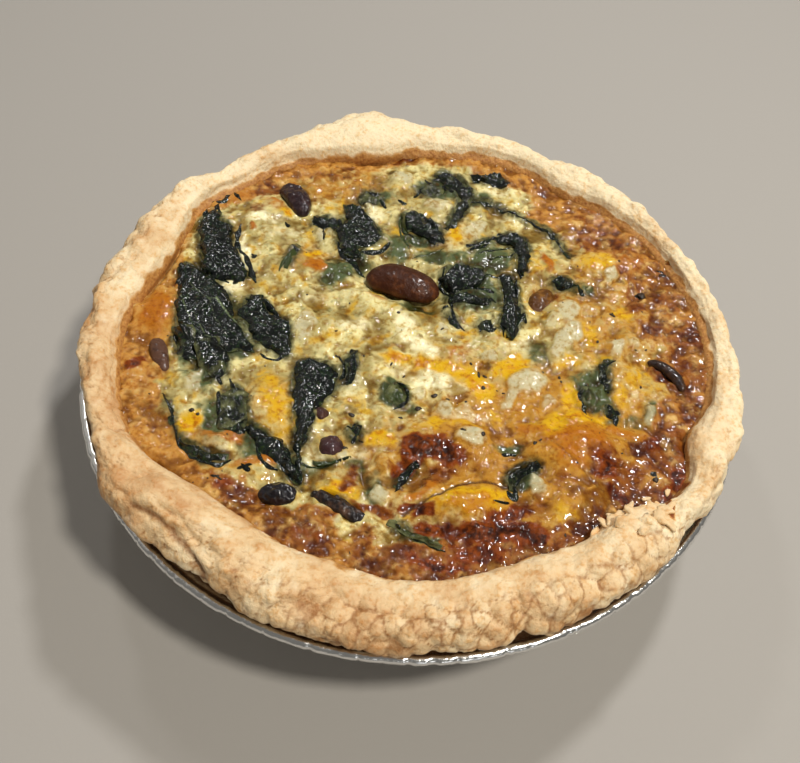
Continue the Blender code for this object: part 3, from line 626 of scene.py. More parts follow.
custardLook = {
    "rings": 142,  # rings of points, from the middle out
    "overlap": 0.9,  # how far it reaches into the pastry
    # below, it is closed by rings: (height, how far in from its edge)
    "shoulder": (25.8, 3.0),
    "foot": (4.9, 14.6),
    # relief: (depth, size)
    "swell": (0.42, 7.0),
    "lumps": (1.7, 4.6),
    "smallLumps": (0.34, 2.2),
    # how far these stand above the rest
    "rise": {"onion": 0.7, "cheddar": 0.4, "amber": 0.8, "leaf": 0.75, "bean": 0.95},
    "creaseDepth": 0.55,
    # how far the browned edge reaches in from the pastry, round the circle: (degrees, mm)
    "brownEdge": (
        (0, 11.5), (10, 12.5), (22, 12.5), (32, 12), (42, 13), (52, 13), (64, 9), (75, 5), (88, 4), (97, 3),
        (104, 4), (116, 5), (128, 6), (140, 3), (150, 0.6), (158, 2.4), (170, 7), (184, 9.5), (196, 9),
        (206, 8), (216, 6.5), (226, 6), (238, 8), (250, 10), (262, 9), (272, 7), (282, 9), (294, 8),
        (304, 4.5), (316, 4.5), (328, 7), (338, 9), (350, 10)),
    # how dark that edge is baked: (degrees, 0 to 1)
    "brownDepth": (
        (0, 1.0), (20, 1.0), (36, 0.95), (50, 0.6), (75, 0.5), (90, 0.4), (110, 0.5), (130, 0.6),
        (150, 0.3), (170, 0.3), (186, 0.5), (200, 0.4), (215, 0.45), (235, 0.85), (258, 0.9), (275, 1.0),
        (300, 1.0), (318, 1.0), (335, 1.0), (350, 0.95)),
    # patches: (x, y, half length, half width, turn, strength)
    "cheddar": (
        (-3, -5.2, 5, 1.7, -5, 0.9), (5, -6.4, 5, 2.4, -10, 1), (11, -8, 5.5, 2.8, -20, 1),
        (15.5, -12.4, 4.6, 3, -60, 1), (22, -6.4, 4.6, 3, 10, 1), (25, -3.4, 2.6, 1.4, 0, 0.9),
        (-25, 26.6, 2.6, 1.8, 20, 1), (9.6, 36.2, 2, 3.8, -8, 1), (-46.6, -26, 2.8, 2.5, -50, 1),
        (-13, -41.2, 3.6, 1.8, -20, 1), (-5.2, -27.4, 3, 2.2, 0, 1), (12.4, 3.6, 2.8, 1.6, 0, 0.8),
        (46, 29.4, 6.8, 3.6, 10, 0.75), (50.4, 13, 3, 3.4, 0, 0.8), (41.6, 5.6, 2.4, 3.8, 10, 0.7),
        (-29.4, -19.5, 9.6, 3.6, 112, 0.72), (12.6, -41.6, 7.6, 3, 10, 0.8), (52, -6.6, 4.4, 5, 0, 0.55),
        (36, -13.5, 1.6, 4.6, -8, 0.8), (35.5, -3.4, 3.6, 2, 20, 0.7), (6, -23, 4, 1.6, 5, 0.7),
        (-11, -18, 2, 2.8, 0, 0.6), (18.6, -20, 1.6, 3.4, 0, 0.6), (28, 12.4, 2, 3.6, 0, 0.5),
        (-21.4, 45, 2.4, 3, 0, 0.5), (-33.6, 41, 1.4, 1.8, 0, 0.8), (29.8, 27, 1.6, 5.4, 0, 0.5),
        (36, -21, 9, 3, 8, 0.9), (-18, 0.8, 1.6, 1.6, 0, 0.6), (44.4, -1.4, 4, 1.4, 10, 0.6),
        (32, -22.6, 4, 2.4, 20, 0.9), (33, -44, 2.6, 2, 0, 0.7), (-36.5, -26.4, 2, 1.6, 0, 0.4),
        (-6, 37, 2, 2.4, 0, 0.5), (12, -23, 5, 1.2, 0, 0.5), (47.5, -12, 2, 4, 0, 0.6),
        (17.6, -40.4, 4.4, 2, 5, 0.9), (58, -12, 2, 2.6, 0, 0.4), (22, 4.4, 2.4, 1.4, 0, 0.4)),
    "amber": (
        (-60, 4.6, 3.6, 6.4, 4, 1), (-24.6, 22.6, 2.2, 2, 0, 1), (32.6, 28.6, 1.5, 3.8, 8, 1),
        (37, -24.6, 8, 4, 10, 0.85), (34, -28.4, 4, 5, 30, 0.8), (13, -42.6, 6.6, 2.2, 8, 0.7),
        (-41.6, 33.6, 1.3, 2, 10, 1), (-9, 13, 3.4, 1.6, -10, 0.7), (-37, 43.4, 3.6, 2.4, -20, 0.7),
        (11, -1.4, 4, 2, 10, 0.55), (20.6, 1.8, 3.4, 1.4, 0, 0.5), (-39, -30, 6, 1.2, -8, 0.8),
        (-30.6, -35, 4.6, 1.6, 5, 0.8), (3, -40.6, 5, 1.6, 40, 0.8), (27, -23.4, 5, 1.8, 15, 0.7),
        (53, 30, 4, 3, 30, 0.6), (-46, 45.5, 3.4, 2.4, 30, 0.6), (-26.5, 51.6, 4, 2.4, 0, 0.5),
        (47, -22, 4, 1.6, 0, 0.7)),
    "brown": (
        (-40, 48.6, 6, 2.6, 35, 0.75), (-24, 55, 8, 2.6, 8, 0.5), (32.4, 17, 3, 3.2, 0, 0.8),
        (58, 20.4, 4, 2.6, 10, 0.8), (52.6, -27, 4.4, 6, 10, 0.9), (41.4, -30, 4, 6, 0, 0.8),
        (-36, -41.4, 5.6, 2.6, -25, 0.7), (46.4, -34, 5, 4, 40, 0.85), (-6, -45, 4.6, 1.1, -12, 1),
        (-11.6, -38.6, 1.1, 4.4, -20, 0.8), (34, -47.4, 6.6, 1.5, 6, 0.8), (7, -36, 6, 2, 35, 0.8),
        (29, -26, 1.4, 2.4, 20, 0.5), (-2.6, -2.4, 2, 1, 0, 0.2), (12.6, -32.6, 5, 2.6, -8, 0.5),
        (33.4, -35.6, 3, 2, 0, 0.6), (26.6, -42, 3, 2.6, 0, 0.6), (-41, 41, 3, 1.6, 0, 0.5),
        (52, 38.6, 4.6, 2, -50, 0.7), (43, 45, 5, 2, -35, 0.6), (-19.6, 58, 2.4, 1.6, 0, 0.6),
        (-5.6, 63.4, 4.6, 1.6, 22, 0.7)),
    "burnt": (
        (4, -29.4, 5.2, 2.8, 12, 1), (8.6, -31, 3.2, 2.4, 0, 1), (0.6, -33.4, 3.6, 1.8, 55, 0.9),
        (17, -48.6, 8.6, 2.6, 10, 0.95), (25, -48.4, 3.6, 2.6, 0, 1), (9, -57, 3.8, 1.2, 6, 1),
        (4.4, -55.6, 3.4, 1.4, 0, 0.7), (57.4, -32.4, 1.8, 2.8, -25, 1), (55, -37, 1.2, 2.2, -20, 0.9),
        (-61.8, -11, 1.6, 1.6, 0, 0.9), (2.6, -44.6, 3.6, 1, 12, 0.9), (8, -48.8, 5, 2.2, -5, 0.8),
        (42.4, -31.6, 2.4, 3.2, 0, 0.75), (53, -24, 2.2, 2.6, 0, 0.6), (44.6, -38.6, 3.4, 1, -35, 0.8),
        (15, -53.6, 6, 1.6, 6, 0.8), (-4, 65, 2.6, 1.2, 22, 0.6), (20.6, -44, 5, 1.6, 15, 0.8),
        (-36.4, -42, 2.4, 1.4, 0, 0.5), (31.4, 15.6, 1.6, 2, 0, 0.5), (-18.4, -51.6, 5, 1.2, -18, 0.35)),
    "cream": (
        (5, -10.8, 5, 2.2, 0, 1), (1.6, -0.4, 5.4, 2, -38, 1), (-2, 5, 2.4, 3.6, 20, 0.9),
        (-44, 13.6, 4.4, 1.8, 12, 1), (-40, 38, 5.4, 2, 5, 0.9), (-11, 42, 2.6, 3, 0, 0.7),
        (-35.4, 32.6, 3.6, 2.6, 0, 0.5), (-43.4, 27, 1.5, 7.6, 22, 0.9), (-13.6, 4, 4.6, 2, 0, 0.7),
        (21, 54, 5, 2.2, 0, 0.6), (22, 43.6, 4, 1.6, -20, 0.6), (25, 1, 3.6, 2, 10, 0.6),
        (10, -13, 3, 2, 0, 0.8), (-24, 12, 4.6, 2.2, 0, 0.5), (12, -20.4, 5, 1.6, 0, 0.5),
        (-12.8, -13.6, 1.8, 5, 0, 0.5), (31, 6, 2, 4, 10, 0.4), (-19.4, -33, 2.2, 3.4, -10, 0.7),
        (-8.6, -30.8, 2.4, 1.6, 0, 0.5), (-31, 34, 2.6, 1.6, 60, 0.5), (4.6, 41.5, 3.6, 2, 10, 0.4),
        (-1, -9.6, 3, 1.4, 0, 0.6), (56, 5, 1.6, 3, 0, 0.4), (8, 31, 2.6, 2, 0, 0.4)),
    "green": (
        (-19.6, 20.6, 4.6, 4.8, 0, 0.9), (-15, 24.6, 4, 3.6, 0, 0.8), (6.6, 27.4, 8, 2.8, 0, 0.8),
        (1, 34, 3, 3, 0, 0.9), (18, 28, 5, 6, 0, 0.9), (14, 18, 6.6, 8, 0, 1), (-3, -15.2, 3, 3.6, 0, 1),
        (-23.4, 30.4, 2.6, 3, 0, 0.3), (-5, 31, 3, 6, 0, 0.8), (1.4, 11.4, 5, 1.8, 0, 0.8),
        (0.4, -19, 3.6, 2.4, 0, 0.6), (-41.6, -24.6, 3.6, 6, 0, 0.8), (-45.6, -13, 3.6, 5.4, 0, 0.7),
        (-40, -4, 3, 4, 40, 0.8), (41, -11, 4.6, 6.4, 0, 0.85), (42, 20.6, 3.6, 2, -30, 0.7),
        (6, 54, 7, 5, 0, 0.85), (-12, 49, 5, 3.4, 0, 0.75), (-31, -31, 4.6, 4, 0, 0.8),
        (-20, -35, 3.4, 3, 0, 0.7), (-9.6, -35, 2.6, 3.4, 0, 0.6), (54.6, -16.6, 3, 3, 0, 0.7),
        (25, -35, 4, 3, 20, 0.85), (-7, 57, 4, 3.4, 0, 0.5), (29, -1, 3, 3.6, 0, 0.6),
        (-37, 4.6, 3.4, 6, 20, 0.6), (-35.6, 24, 3.6, 5.4, 0, 0.1), (22, -28.6, 3, 2, 0, 0.7),
        (-6.4, -40.6, 3, 3.4, 0, 0.7), (7.6, -52.6, 4.6, 1, -18, 0.7), (-50, -10, 2.4, 6, 15, 0.6),
        (-24, 8, 8, 2, 10, 0.3), (48.4, 37.4, 3, 2, -20, 0.6), (16, 51, 3, 3, 0, 0.7),
        (50, -18.6, 2.6, 2, 0, 0.5), (-33, 48, 5, 6, 30, 0.3), (60, 27.6, 1.6, 1.2, 0, 0.7),
        (56, 19, 2.4, 1.6, 0, 0.8)),
    "onion": (
        (37, 12, 2.4, 4.4, -20, 1), (36, 3.6, 2.2, 6, -28, 1), (47.4, 2.4, 1.6, 2.6, -20, 1),
        (48, 25, 2, 1.5, 40, 1), (43.6, 34.6, 1.7, 1.5, 0, 0.9), (15.4, 38.4, 2.8, 2.2, 30, 0.9),
        (14.2, -26.4, 3.4, 2, -10, 1), (26.4, -10.6, 4.4, 3.6, 20, 1), (8.2, -18.6, 2, 2.2, 0, 0.9),
        (2.4, -14.4, 1.8, 1.8, 0, 0.8), (-24.6, 2, 2, 4.2, 5, 1), (-5.2, -41.4, 2.6, 2.2, -20, 1),
        (-16, -46, 3.8, 1.6, -15, 0.8), (6.6, 4.2, 1.4, 1.4, 0, 0.9), (17.4, -2.8, 2.2, 1.4, -10, 0.9),
        (-5, 56, 3.4, 3, 0, 0.9), (5, 47, 4.2, 2.6, 20, 0.8), (27.6, -37.4, 2, 3, 10, 0.9),
        (22.6, -14.6, 1.4, 3, -30, 0.9), (53.6, -17.4, 1.8, 1.8, 0, 0.8), (33, 9.4, 1.2, 2, 0, 0.7),
        (51.6, 3.6, 1.4, 1.6, 0, 0.7), (-24.8, 32.6, 1, 2.4, 10, 0.9), (-13.2, 44.2, 1.2, 2, 0, 0.7),
        (-39.6, -31.4, 3, 1.6, -20, 0.6), (13.4, 63.2, 2, 2.2, 60, 0.9), (-47.6, -15.6, 2, 3.4, 0, 0.8),
        (-22, 34.6, 1, 1.6, 0, 0.7), (42, 14, 2, 2, 0, 0.5), (12.6, -18.4, 2.2, 1.6, 0, 0.6),
        (-12.6, -32.2, 1.6, 1, 0, 0.8), (41.4, 21, 1, 1, 0, 0.9), (-15.4, 13.6, 2.4, 2, 0, 0.5),
        (-20, 4.6, 1.6, 2, 0, 0.4), (31.6, -14.6, 1.6, 2.6, -20, 0.7)),
    "golden": (
        (30, -28, 34, 24, 20, 1), (48, 14, 16, 26, 0, 0.75), (10, -34, 26, 14, 0, 0.8),
        (-30, -24, 9, 14, -15, 0.6), (-24, 53, 16, 8, 12, 0.8), (45, 40, 16, 8, -40, 0.8),
        (12, -8, 16, 8, -20, 0.6), (-27, 25, 7, 5, 0, 0.7), (9, 37, 6, 5, 0, 0.6), (-58, 3, 8, 12, 0, 0.8),
        (34, 20, 7, 10, 0, 0.5), (-44, -33, 14, 5, -30, 0.7)),
    # folds and dark lines: ((x, y), ..., half width, strength)
    "creases": (
        ((0, -46), (5, -42.4), (10, -39), (13.4, -37.2), (17, -37), (21.4, -37.6), 0.55, 1.0),
        ((30.6, -26), (33.4, -29.6), (38.2, -34), 0.5, 0.7),
        ((42.4, -20.4), (44.4, -25), (45.2, -31), 0.5, 0.5),
        ((43.6, -36), (42.6, -39.6), (41, -42.6), 0.6, 0.8),
        ((-2.6, -47.4), (1, -50), (5.4, -51.4), 0.4, 0.9), ((54, 15.6), (58, 14.6), (61, 16.4), 0.4, 0.4),
        ((-9, -34.6), (-8.6, -39), (-6, -44), 0.5, 0.6), ((58, 7), (61.4, 3.4), (62, -1), 0.5, 0.3),
        ((44, -6), (43.6, -10), (45.4, -14), 0.5, 0.6), ((38, -9.6), (38.6, -13), (40, -16.4), 0.4, 0.7),
        ((-5, -12.6), (-1.4, -12), (-0.6, -15.6), (-2.6, -18.6), 0.5, 0.6)),
    "speckles": (
        (-33.5, 36, 1.1, 0.6, -60, 1), (-40, 24.4, 0.7, 0.5, 0, 0.8), (-4.5, 47, 1.2, 0.5, -25, 0.7),
        (3, 11.6, 1.6, 0.7, 30, 0.7), (-12.6, -30.4, 0.9, 0.6, 0, 0.8), (-33, -36.6, 1.5, 0.7, 10, 1),
        (-4, 25.6, 1.4, 0.8, 20, 0.5), (-38.6, -39.6, 0.8, 0.5, 0, 0.7), (61, 28, 0.8, 0.6, 0, 0.9),
        (55.3, 19, 1.2, 1, 0, 1), (52.4, -33, 0.9, 0.7, 0, 0.9), (47.4, 12.6, 0.8, 0.7, 0, 0.6)),
    "dryness": (0.34, 0.45),  # roughness in the middle, and at the browned edge
    "grains": {"wide": (3.2, 1.5, 0), "other": (2.1, 1.5, 0.4), "mid": (1.4, 2, 0), "fine": (0.6, 1.5, 0),
               "soft": (1.3, 0, 0)},
    "relief": (("mid", 0.2), ("fine", 0.06)),
    "coatRelief": (("soft", 0.25), ("mid", 0.06)),
    "colours": (
        "#a8965a",
        ("#eee2a2", "tone", "other", 0.8, 0.05, 0.85),
        ("#8d8650", "other", "soft", 0.35, 0.50, 0.82),
        ("#d3aa3a", "wide", "other", 0.5, 0.50, 0.76),
        ("#bb852c", "golden", "other", 1.2, 0.1, 1.0),
        ("#525d3a", "green", "other", 0.9, 0.1, 0.8),
        ("#3a4229", "leafBy", "mid", 1.0, 0.2, 1.2),
        ("#faf2c4", "cream", "other", 0.9, 0.1, 1.0),
        ("#dcac14", "cheddar", "other", 0.9, 0.15, 0.95),
        ("#cf8c10", "cheddarWide", "mid", 0.4, 0.36, 0.66),
        ("#c9c09a", "onion", "soft", 0.5, 0.2, 1.2),
        ("#c68e40", "band", "mid", 0.8, 0.1, 0.8),
        ("#8c5019", "brown", "other", 1.0, 0.1, 0.85),
        ("#e0b870", "bandWide", "mid", 0.5, 0.46, 0.75),
        ("#6a3409", "brown", "mid", 1.5, 0.5, 1.2),
        ("#b26a10", "amber", "other", 0.7, 0.2, 1.0),
        ("#843c08", "burnt", "mid", 0.8, 0.05, 0.6),
        ("#431a02", "burnt", "mid", 1.6, 0.5, 1.2),
        # random darker mottles, then painted shade darkening the hollows between the lumps
        ("#dcc8a0", "mid", "fine", 0.5, 0.44, 0.75, "MULTIPLY"),
        ("#a8905a", "paintedHollowShade", "soft", 0.5, 0.15, 1.1, "MULTIPLY"),
        # dark brown along the folds: browned seams, and painted shade in them
        ("#4a2a10", "crease", "fine", 0.3, 0.3, 1.1),
        ("#15170f", "speckles", "fine", 0.3, 0.3, 0.7),
    ),
}


def custardPaint(x, y, fromEdge, angle):
    flatPlace = flat(x, y, 3.0)
    warpX = 1.5 * noise(flatPlace, 4.6, 101) + 0.9 * noise(flatPlace, 2.0, 102)
    warpY = 1.5 * noise(flatPlace, 4.6, 103) + 0.9 * noise(flatPlace, 2.0, 104)
    xw, yw = x + warpX, y + warpY
    masks = {name: patches(xw, yw, custardLook[name], 0.6)
             for name in ("cheddar", "amber", "burnt", "cream", "green", "golden")}
    masks["speckles"] = patches(xw, yw, custardLook["speckles"])
    masks["onion"] = patches(xw, yw, custardLook["onion"], 0.3)
    edge = roundTable(angle, custardLook["brownEdge"]) * (1 + 0.5 * noise(flatPlace, 5.0, 105))
    edge = edge + 1.4 * noise(flatPlace, 2.2, 106)
    baked = roundTable(angle, custardLook["brownDepth"])
    band = smooth((edge - fromEdge) / 3.6 + 0.5) * np.minimum(1, baked + 0.3)
    band *= smooth(fromEdge / 0.8 + 1.0)
    masks["band"] = band
    depth = baked * (0.75 + 0.5 * fractal(flatPlace, 5.0, 3, 107))
    lip = smooth((1.6 + 1.2 * noise(flatPlace, 3.0, 108) - fromEdge) / 1.4) * depth * 0.9
    spots = patches(xw, yw, custardLook["brown"], 0.6)
    masks["brown"] = np.maximum(spots, np.maximum(0.95 * band * depth, lip))
    masks["tone"] = 0.5 + 0.5 * fractal(flatPlace, 6.0, 3, 109)
    leaf = sample(leafNear, x, y)
    masks["leafBy"] = 4 * leaf * (1 - leaf)
    masks["green"] = np.maximum(masks["green"], 0.5 * sample(leafWide, x, y))
    masks["crease"] = lines(x + 0.3 * warpX, y + 0.3 * warpY, custardLook["creases"])
    return masks


def custardRelief(x, y, masks):
    place = flat(x, y)
    calm = 1 - 0.6 * np.maximum(masks["cheddar"], masks["amber"])
    rise = custardLook["rise"]
    depth, size = custardLook["swell"]
    relief = depth * fractal(place, size, 2, 121) * calm
    warped = place + 1.5 * np.stack([noise(place, 3.4, 122), noise(place, 3.4, 124), 0 * x], axis=1)
    depth, size = custardLook["lumps"]
    near, following, tall = cells(warped, size, 123)
    lump = smooth((following - near) / 1.15)
    relief += (0.15 + depth * tall) * lump * (1 - 0.7 * masks["band"]) * calm
    depth, size = custardLook["smallLumps"]
    near, following, tallSmall = cells(warped, size, 131)
    lumpSmall = smooth(following - near)
    relief += depth * tallSmall * lumpSmall * (1 - 0.5 * masks["amber"]) * (1 - 0.3 * masks["band"])
    masks["tone"] += 0.45 * (tall - 0.5) * lump + 0.35 * (tallSmall - 0.5) * lumpSmall
    bits = smooth((tallSmall - 0.84) / 0.06) * lumpSmall * smooth((x + 14) / 12) * (1 - masks["band"])
    masks["onion"] = np.maximum(masks["onion"], 0.6 * bits)
    relief += rise["onion"] * smooth(masks["onion"] * 1.5)
    relief += rise["cheddar"] * masks["cheddar"] * calm + rise["amber"] * masks["amber"]
    rough = np.clip(masks["brown"] + masks["burnt"] + 0.7 * masks["band"], 0, 1)
    relief += rough * (0.34 * fractal(place, 2.0, 2, 135) + 0.2 * noise(place, 1.1, 136))
    relief += 0.07 * noise(place, 1.2, 137)
    relief -= 0.7  # so that the tops of the lumps, and not their feet, are at the solid's height
    # painted shade: how deep each place lies between the lumps, darkened in the custard's colour
    masks["paintedHollowShade"] = smooth((-0.4 - relief) / 0.5) * (0.3 + 0.7 * (1 - lump))
    relief -= custardLook["creaseDepth"] * masks["crease"]
    # custard climbs the leaves and beans it set round, and sinks under them
    leaf, bean = sample(leafNear, x, y), sample(beanNear, x, y)
    under = smooth((leaf - 0.45) / 0.45)
    relief += under * (-0.15 - 0.5 * relief)
    relief += (rise["leaf"] * np.exp(-((leaf - 0.42) / 0.25) ** 2) * (leaf > 0.01)
               * (1 + 1.6 * noise(place, 2.6, 138)))
    relief += (rise["bean"] * np.exp(-((bean - 0.4) / 0.22) ** 2) * (bean > 0.01)
               * (1 + 0.8 * noise(place, 3.0, 139)))
    return sample(custardMap, x, y) + relief


# where the custard meets the pastry, all round
crustTree = treeOf("crust")
edgeTurns = np.linspace(0, 2 * np.pi, 720, endpoint=False)
edgeMiddle = Vector((0, 0, 32.3))
edgeRadii = np.array([crustTree.ray_cast(edgeMiddle, Vector((math.cos(a), math.sin(a), 0)))[3]
                      for a in edgeTurns])
edgeRadii = sum(np.roll(edgeRadii, k) for k in range(-3, 4)) / 7 + custardLook["overlap"]


def edgeAt(angle):
    turn = np.mod(angle, 2 * np.pi)
    return np.interp(turn, np.append(edgeTurns, 2 * np.pi), np.append(edgeRadii, edgeRadii[0]))


def surfaceAt(x, y):
    # height of the finished custard
    angle = np.arctan2(y, x)
    fromEdge = edgeAt(angle) - custardLook["overlap"] - np.hypot(x, y)
    return custardRelief(x, y, custardPaint(x, y, fromEdge, angle))


def firstOf(ring):
    # number of the first point of a ring, in a disc of rings of 6, 12, 18... points round a middle one
    return 0 if ring == 0 else 1 + 3 * ring * (ring - 1)


def discFaces(rings):
    faces = []
    for ring in range(1, rings + 1):
        size, start, startIn = 6 * ring, firstOf(ring), firstOf(ring - 1)
        sizeIn = max(1, size - 6)
        for sector in range(6):
            for step in range(ring):
                outer, inner = sector * ring + step, sector * (ring - 1) + step
                a, b = start + outer, start + (outer + 1) % size
                faces.append((a, b, startIn + inner % sizeIn))
                if step < ring - 1:
                    faces.append((startIn + inner % sizeIn, b, startIn + (inner + 1) % sizeIn))
    return faces


def makeCustard():
    rings = custardLook["rings"]
    ringOf = np.concatenate([[0]] + [np.full(6 * k, k) for k in range(1, rings + 1)])
    stepOf = np.concatenate([[0]] + [np.arange(6 * k) for k in range(1, rings + 1)])
    angle = 2 * np.pi * stepOf / np.maximum(1, 6 * ringOf)
    edgeRadius = edgeAt(angle)
    radius = edgeRadius * ringOf / rings
    x, y = radius * np.cos(angle), radius * np.sin(angle)
    fromEdge = edgeRadius - custardLook["overlap"] - radius
    masks = custardPaint(x, y, fromEdge, angle)
    height = custardRelief(x, y, masks)
    height += 0.5 * smooth(1 - fromEdge / 2.2) * noise(flat(x, y), 3.4, 141)
    points = np.stack([x, y, height], axis=1)

    # closed down the sides to the pastry's floor
    faces = discFaces(rings)
    sides = 6 * rings
    rim = np.arange(len(points) - sides, len(points))
    around = angle[rim]
    for level, inset in (custardLook["shoulder"], custardLook["foot"]):
        lower = np.arange(len(points), len(points) + sides)
        points = np.vstack([points, ringAt(around, edgeRadii.mean() - inset, level)])
        for k in range(sides):
            n = (k + 1) % sides
            faces.append((int(rim[k]), int(lower[k]), int(lower[n]), int(rim[n])))
        rim = lower
    points = np.vstack([points, [[0, 0, custardLook["foot"][0]]]])
    for k in range(sides):
        faces.append((len(points) - 1, int(rim[(k + 1) % sides]), int(rim[k])))
    masks = {name: np.pad(values, (0, len(points) - len(x))) for name, values in masks.items()}

    # egg custard and melted cheese: set soft under a film of fat, so it is wet, glinting and deep in colour
    material, tree, shader, noises = newMaterial("setEggCustardBaked", custardLook, {
        "IOR": 1.42, "Specular IOR Level": 0.15, "Subsurface Weight": 0.15,
        "Subsurface Scale": 1.0 * mm, "Subsurface Radius": (1.0, 0.75, 0.4),
        "Coat Weight": 0.4, "Coat Roughness": 0.06, "Coat IOR": 1.5})
    read = {name: addNode(tree, "ShaderNodeAttribute", attribute_name=name).outputs["Fac"]
            for name in ("cheddar", "band")}
    for name, mask in read.items():
        noises[name + "Wide"] = addNode(tree, "ShaderNodeMath", {0: mask, 1: noises["wide"]},
                                        operation="MULTIPLY").outputs[0]
    low, high = custardLook["dryness"]
    dry = addNode(tree, "ShaderNodeMapRange", {"Value": read["band"], "To Min": low, "To Max": high})
    tree.links.new(dry.outputs[0], shader.inputs["Roughness"])
    dress(tree, shader, noises, custardLook)
    return makePiece("custard", points, faces, material, "custard", ["filling"], masks)


makeCustard()
surfaceMap = surfaceAt(gridX.ravel(), gridY.ravel()).reshape(steps, steps)
print("set the custard")


# Spinach: wilted leaves and stems, wet and crumpled, lying half sunk in the custard

leafLook = {
    "cuts": 7,  # points added along each edge of the solid
    "ragged": (1.5, 4.2, 0.75, 1.7),  # outline: how far, how long, and again finer
    "wrinkles": 0.6,  # depth
    "wrinkleSize": 1.5,
    "lie": 0.6,  # how far all of them lie down in the custard
    "tuck": 0.85,  # how far the edge dips under the custard
    "tuckWidth": 1.2,
    # leaves with custard smeared over them, by number
    "smeared": {3: 0.45, 5: 0.5, 6: 0.55, 12: 0.5, 14: 0.4, 15: 0.6, 29: 0.6, 31: 0.35, 33: 0.6, 34: 0.45,
                35: 0.5, 36: 0.35, 17: 0.25, 21: 0.3, 24: 0.2},
    # how far down a leaf lies under a skin of custard, by number
    "sunk": {16: 0.6, 28: 0.1, 29: 0.3, 37: 0.2, 15: 0.1, 12: -0.2, 26: 0.1, 33: 0.1},
    # thin green stems, by number
    "stems": {16: 0.5, 18: 0.3, 26: 0.45, 28: 0.7, 30: 0.9, 37: 0.9, 32: 0.3, 33: 0.6, 29: 0.8, 22: 0.4},
    # ((x, y), ..., half width, strength)
    "veins": (
        ((-55, 9), (-52.6, 4), (-50, -1), 0.28, 0.8), ((-46.6, 9), (-43.4, 4.6), (-39.6, 1), 0.36, 1.0),
        ((-48.6, 9.6), (-46, 3), (-42.6, -2), 0.22, 0.7),
        ((-54, 13.6), (-49, 8.8), (-46.4, 8.6), 0.26, 0.7),
        ((-51, 4), (-47.4, -2.4), (-42.6, -5.4), 0.22, 0.8),
        ((-45.6, 27), (-43.6, 22), (-41.6, 18), 0.2, 0.5), ((-52.4, 38), (-51, 30), (-49, 24), 0.24, 0.5),
        ((-15, 42), (-15.6, 36), (-18, 30), 0.2, 0.5), ((-22, -9), (-21, -14), (-22.4, -22), 0.2, 0.4),
        ((23, 22), (23.6, 14), (23, 6), 0.24, 0.5)),
    "grains": {"wide": (2.6, 3, 0), "mid": (1.0, 4, 0), "fine": (0.45, 3, 0), "soft": (1.1, 0.6, 1.2)},
    "relief": (("mid", 0.30), ("fine", 0.12)),
    "coatRelief": (("soft", 0.26), ("mid", 0.03)),
    "colours": (
        "#030806",
        ("#17281f", "wide", "mid", 1.4, 0.45, 1.0),
        ("#20300c", "mid", "fine", 0.6, 0.5, 0.8),
        ("#333f14", "stem", "mid", 0.6, 0.3, 1.0),
        ("#6f7c58", "vein", "fine", 0.5, 0.35, 1.0),
        ("#6c6e46", "smear", "wide", 1.2, 0.45, 1.0),
        ("#5c6238", "rim", "wide", 2.0, 1.0, 1.5),
    ),
}


def spinachMaterial():
    # wilted leaf: waxy skin over dark water-soaked green, so nearly black with sharp small glints
    material, tree, shader, noises = newMaterial("wiltedSpinachLeaf", leafLook, {
        "Roughness": 0.5, "IOR": 1.45, "Specular IOR Level": 0.06,
        "Coat Weight": 0.85, "Coat Roughness": 0.05})
    dress(tree, shader, noises, leafLook)
    return material


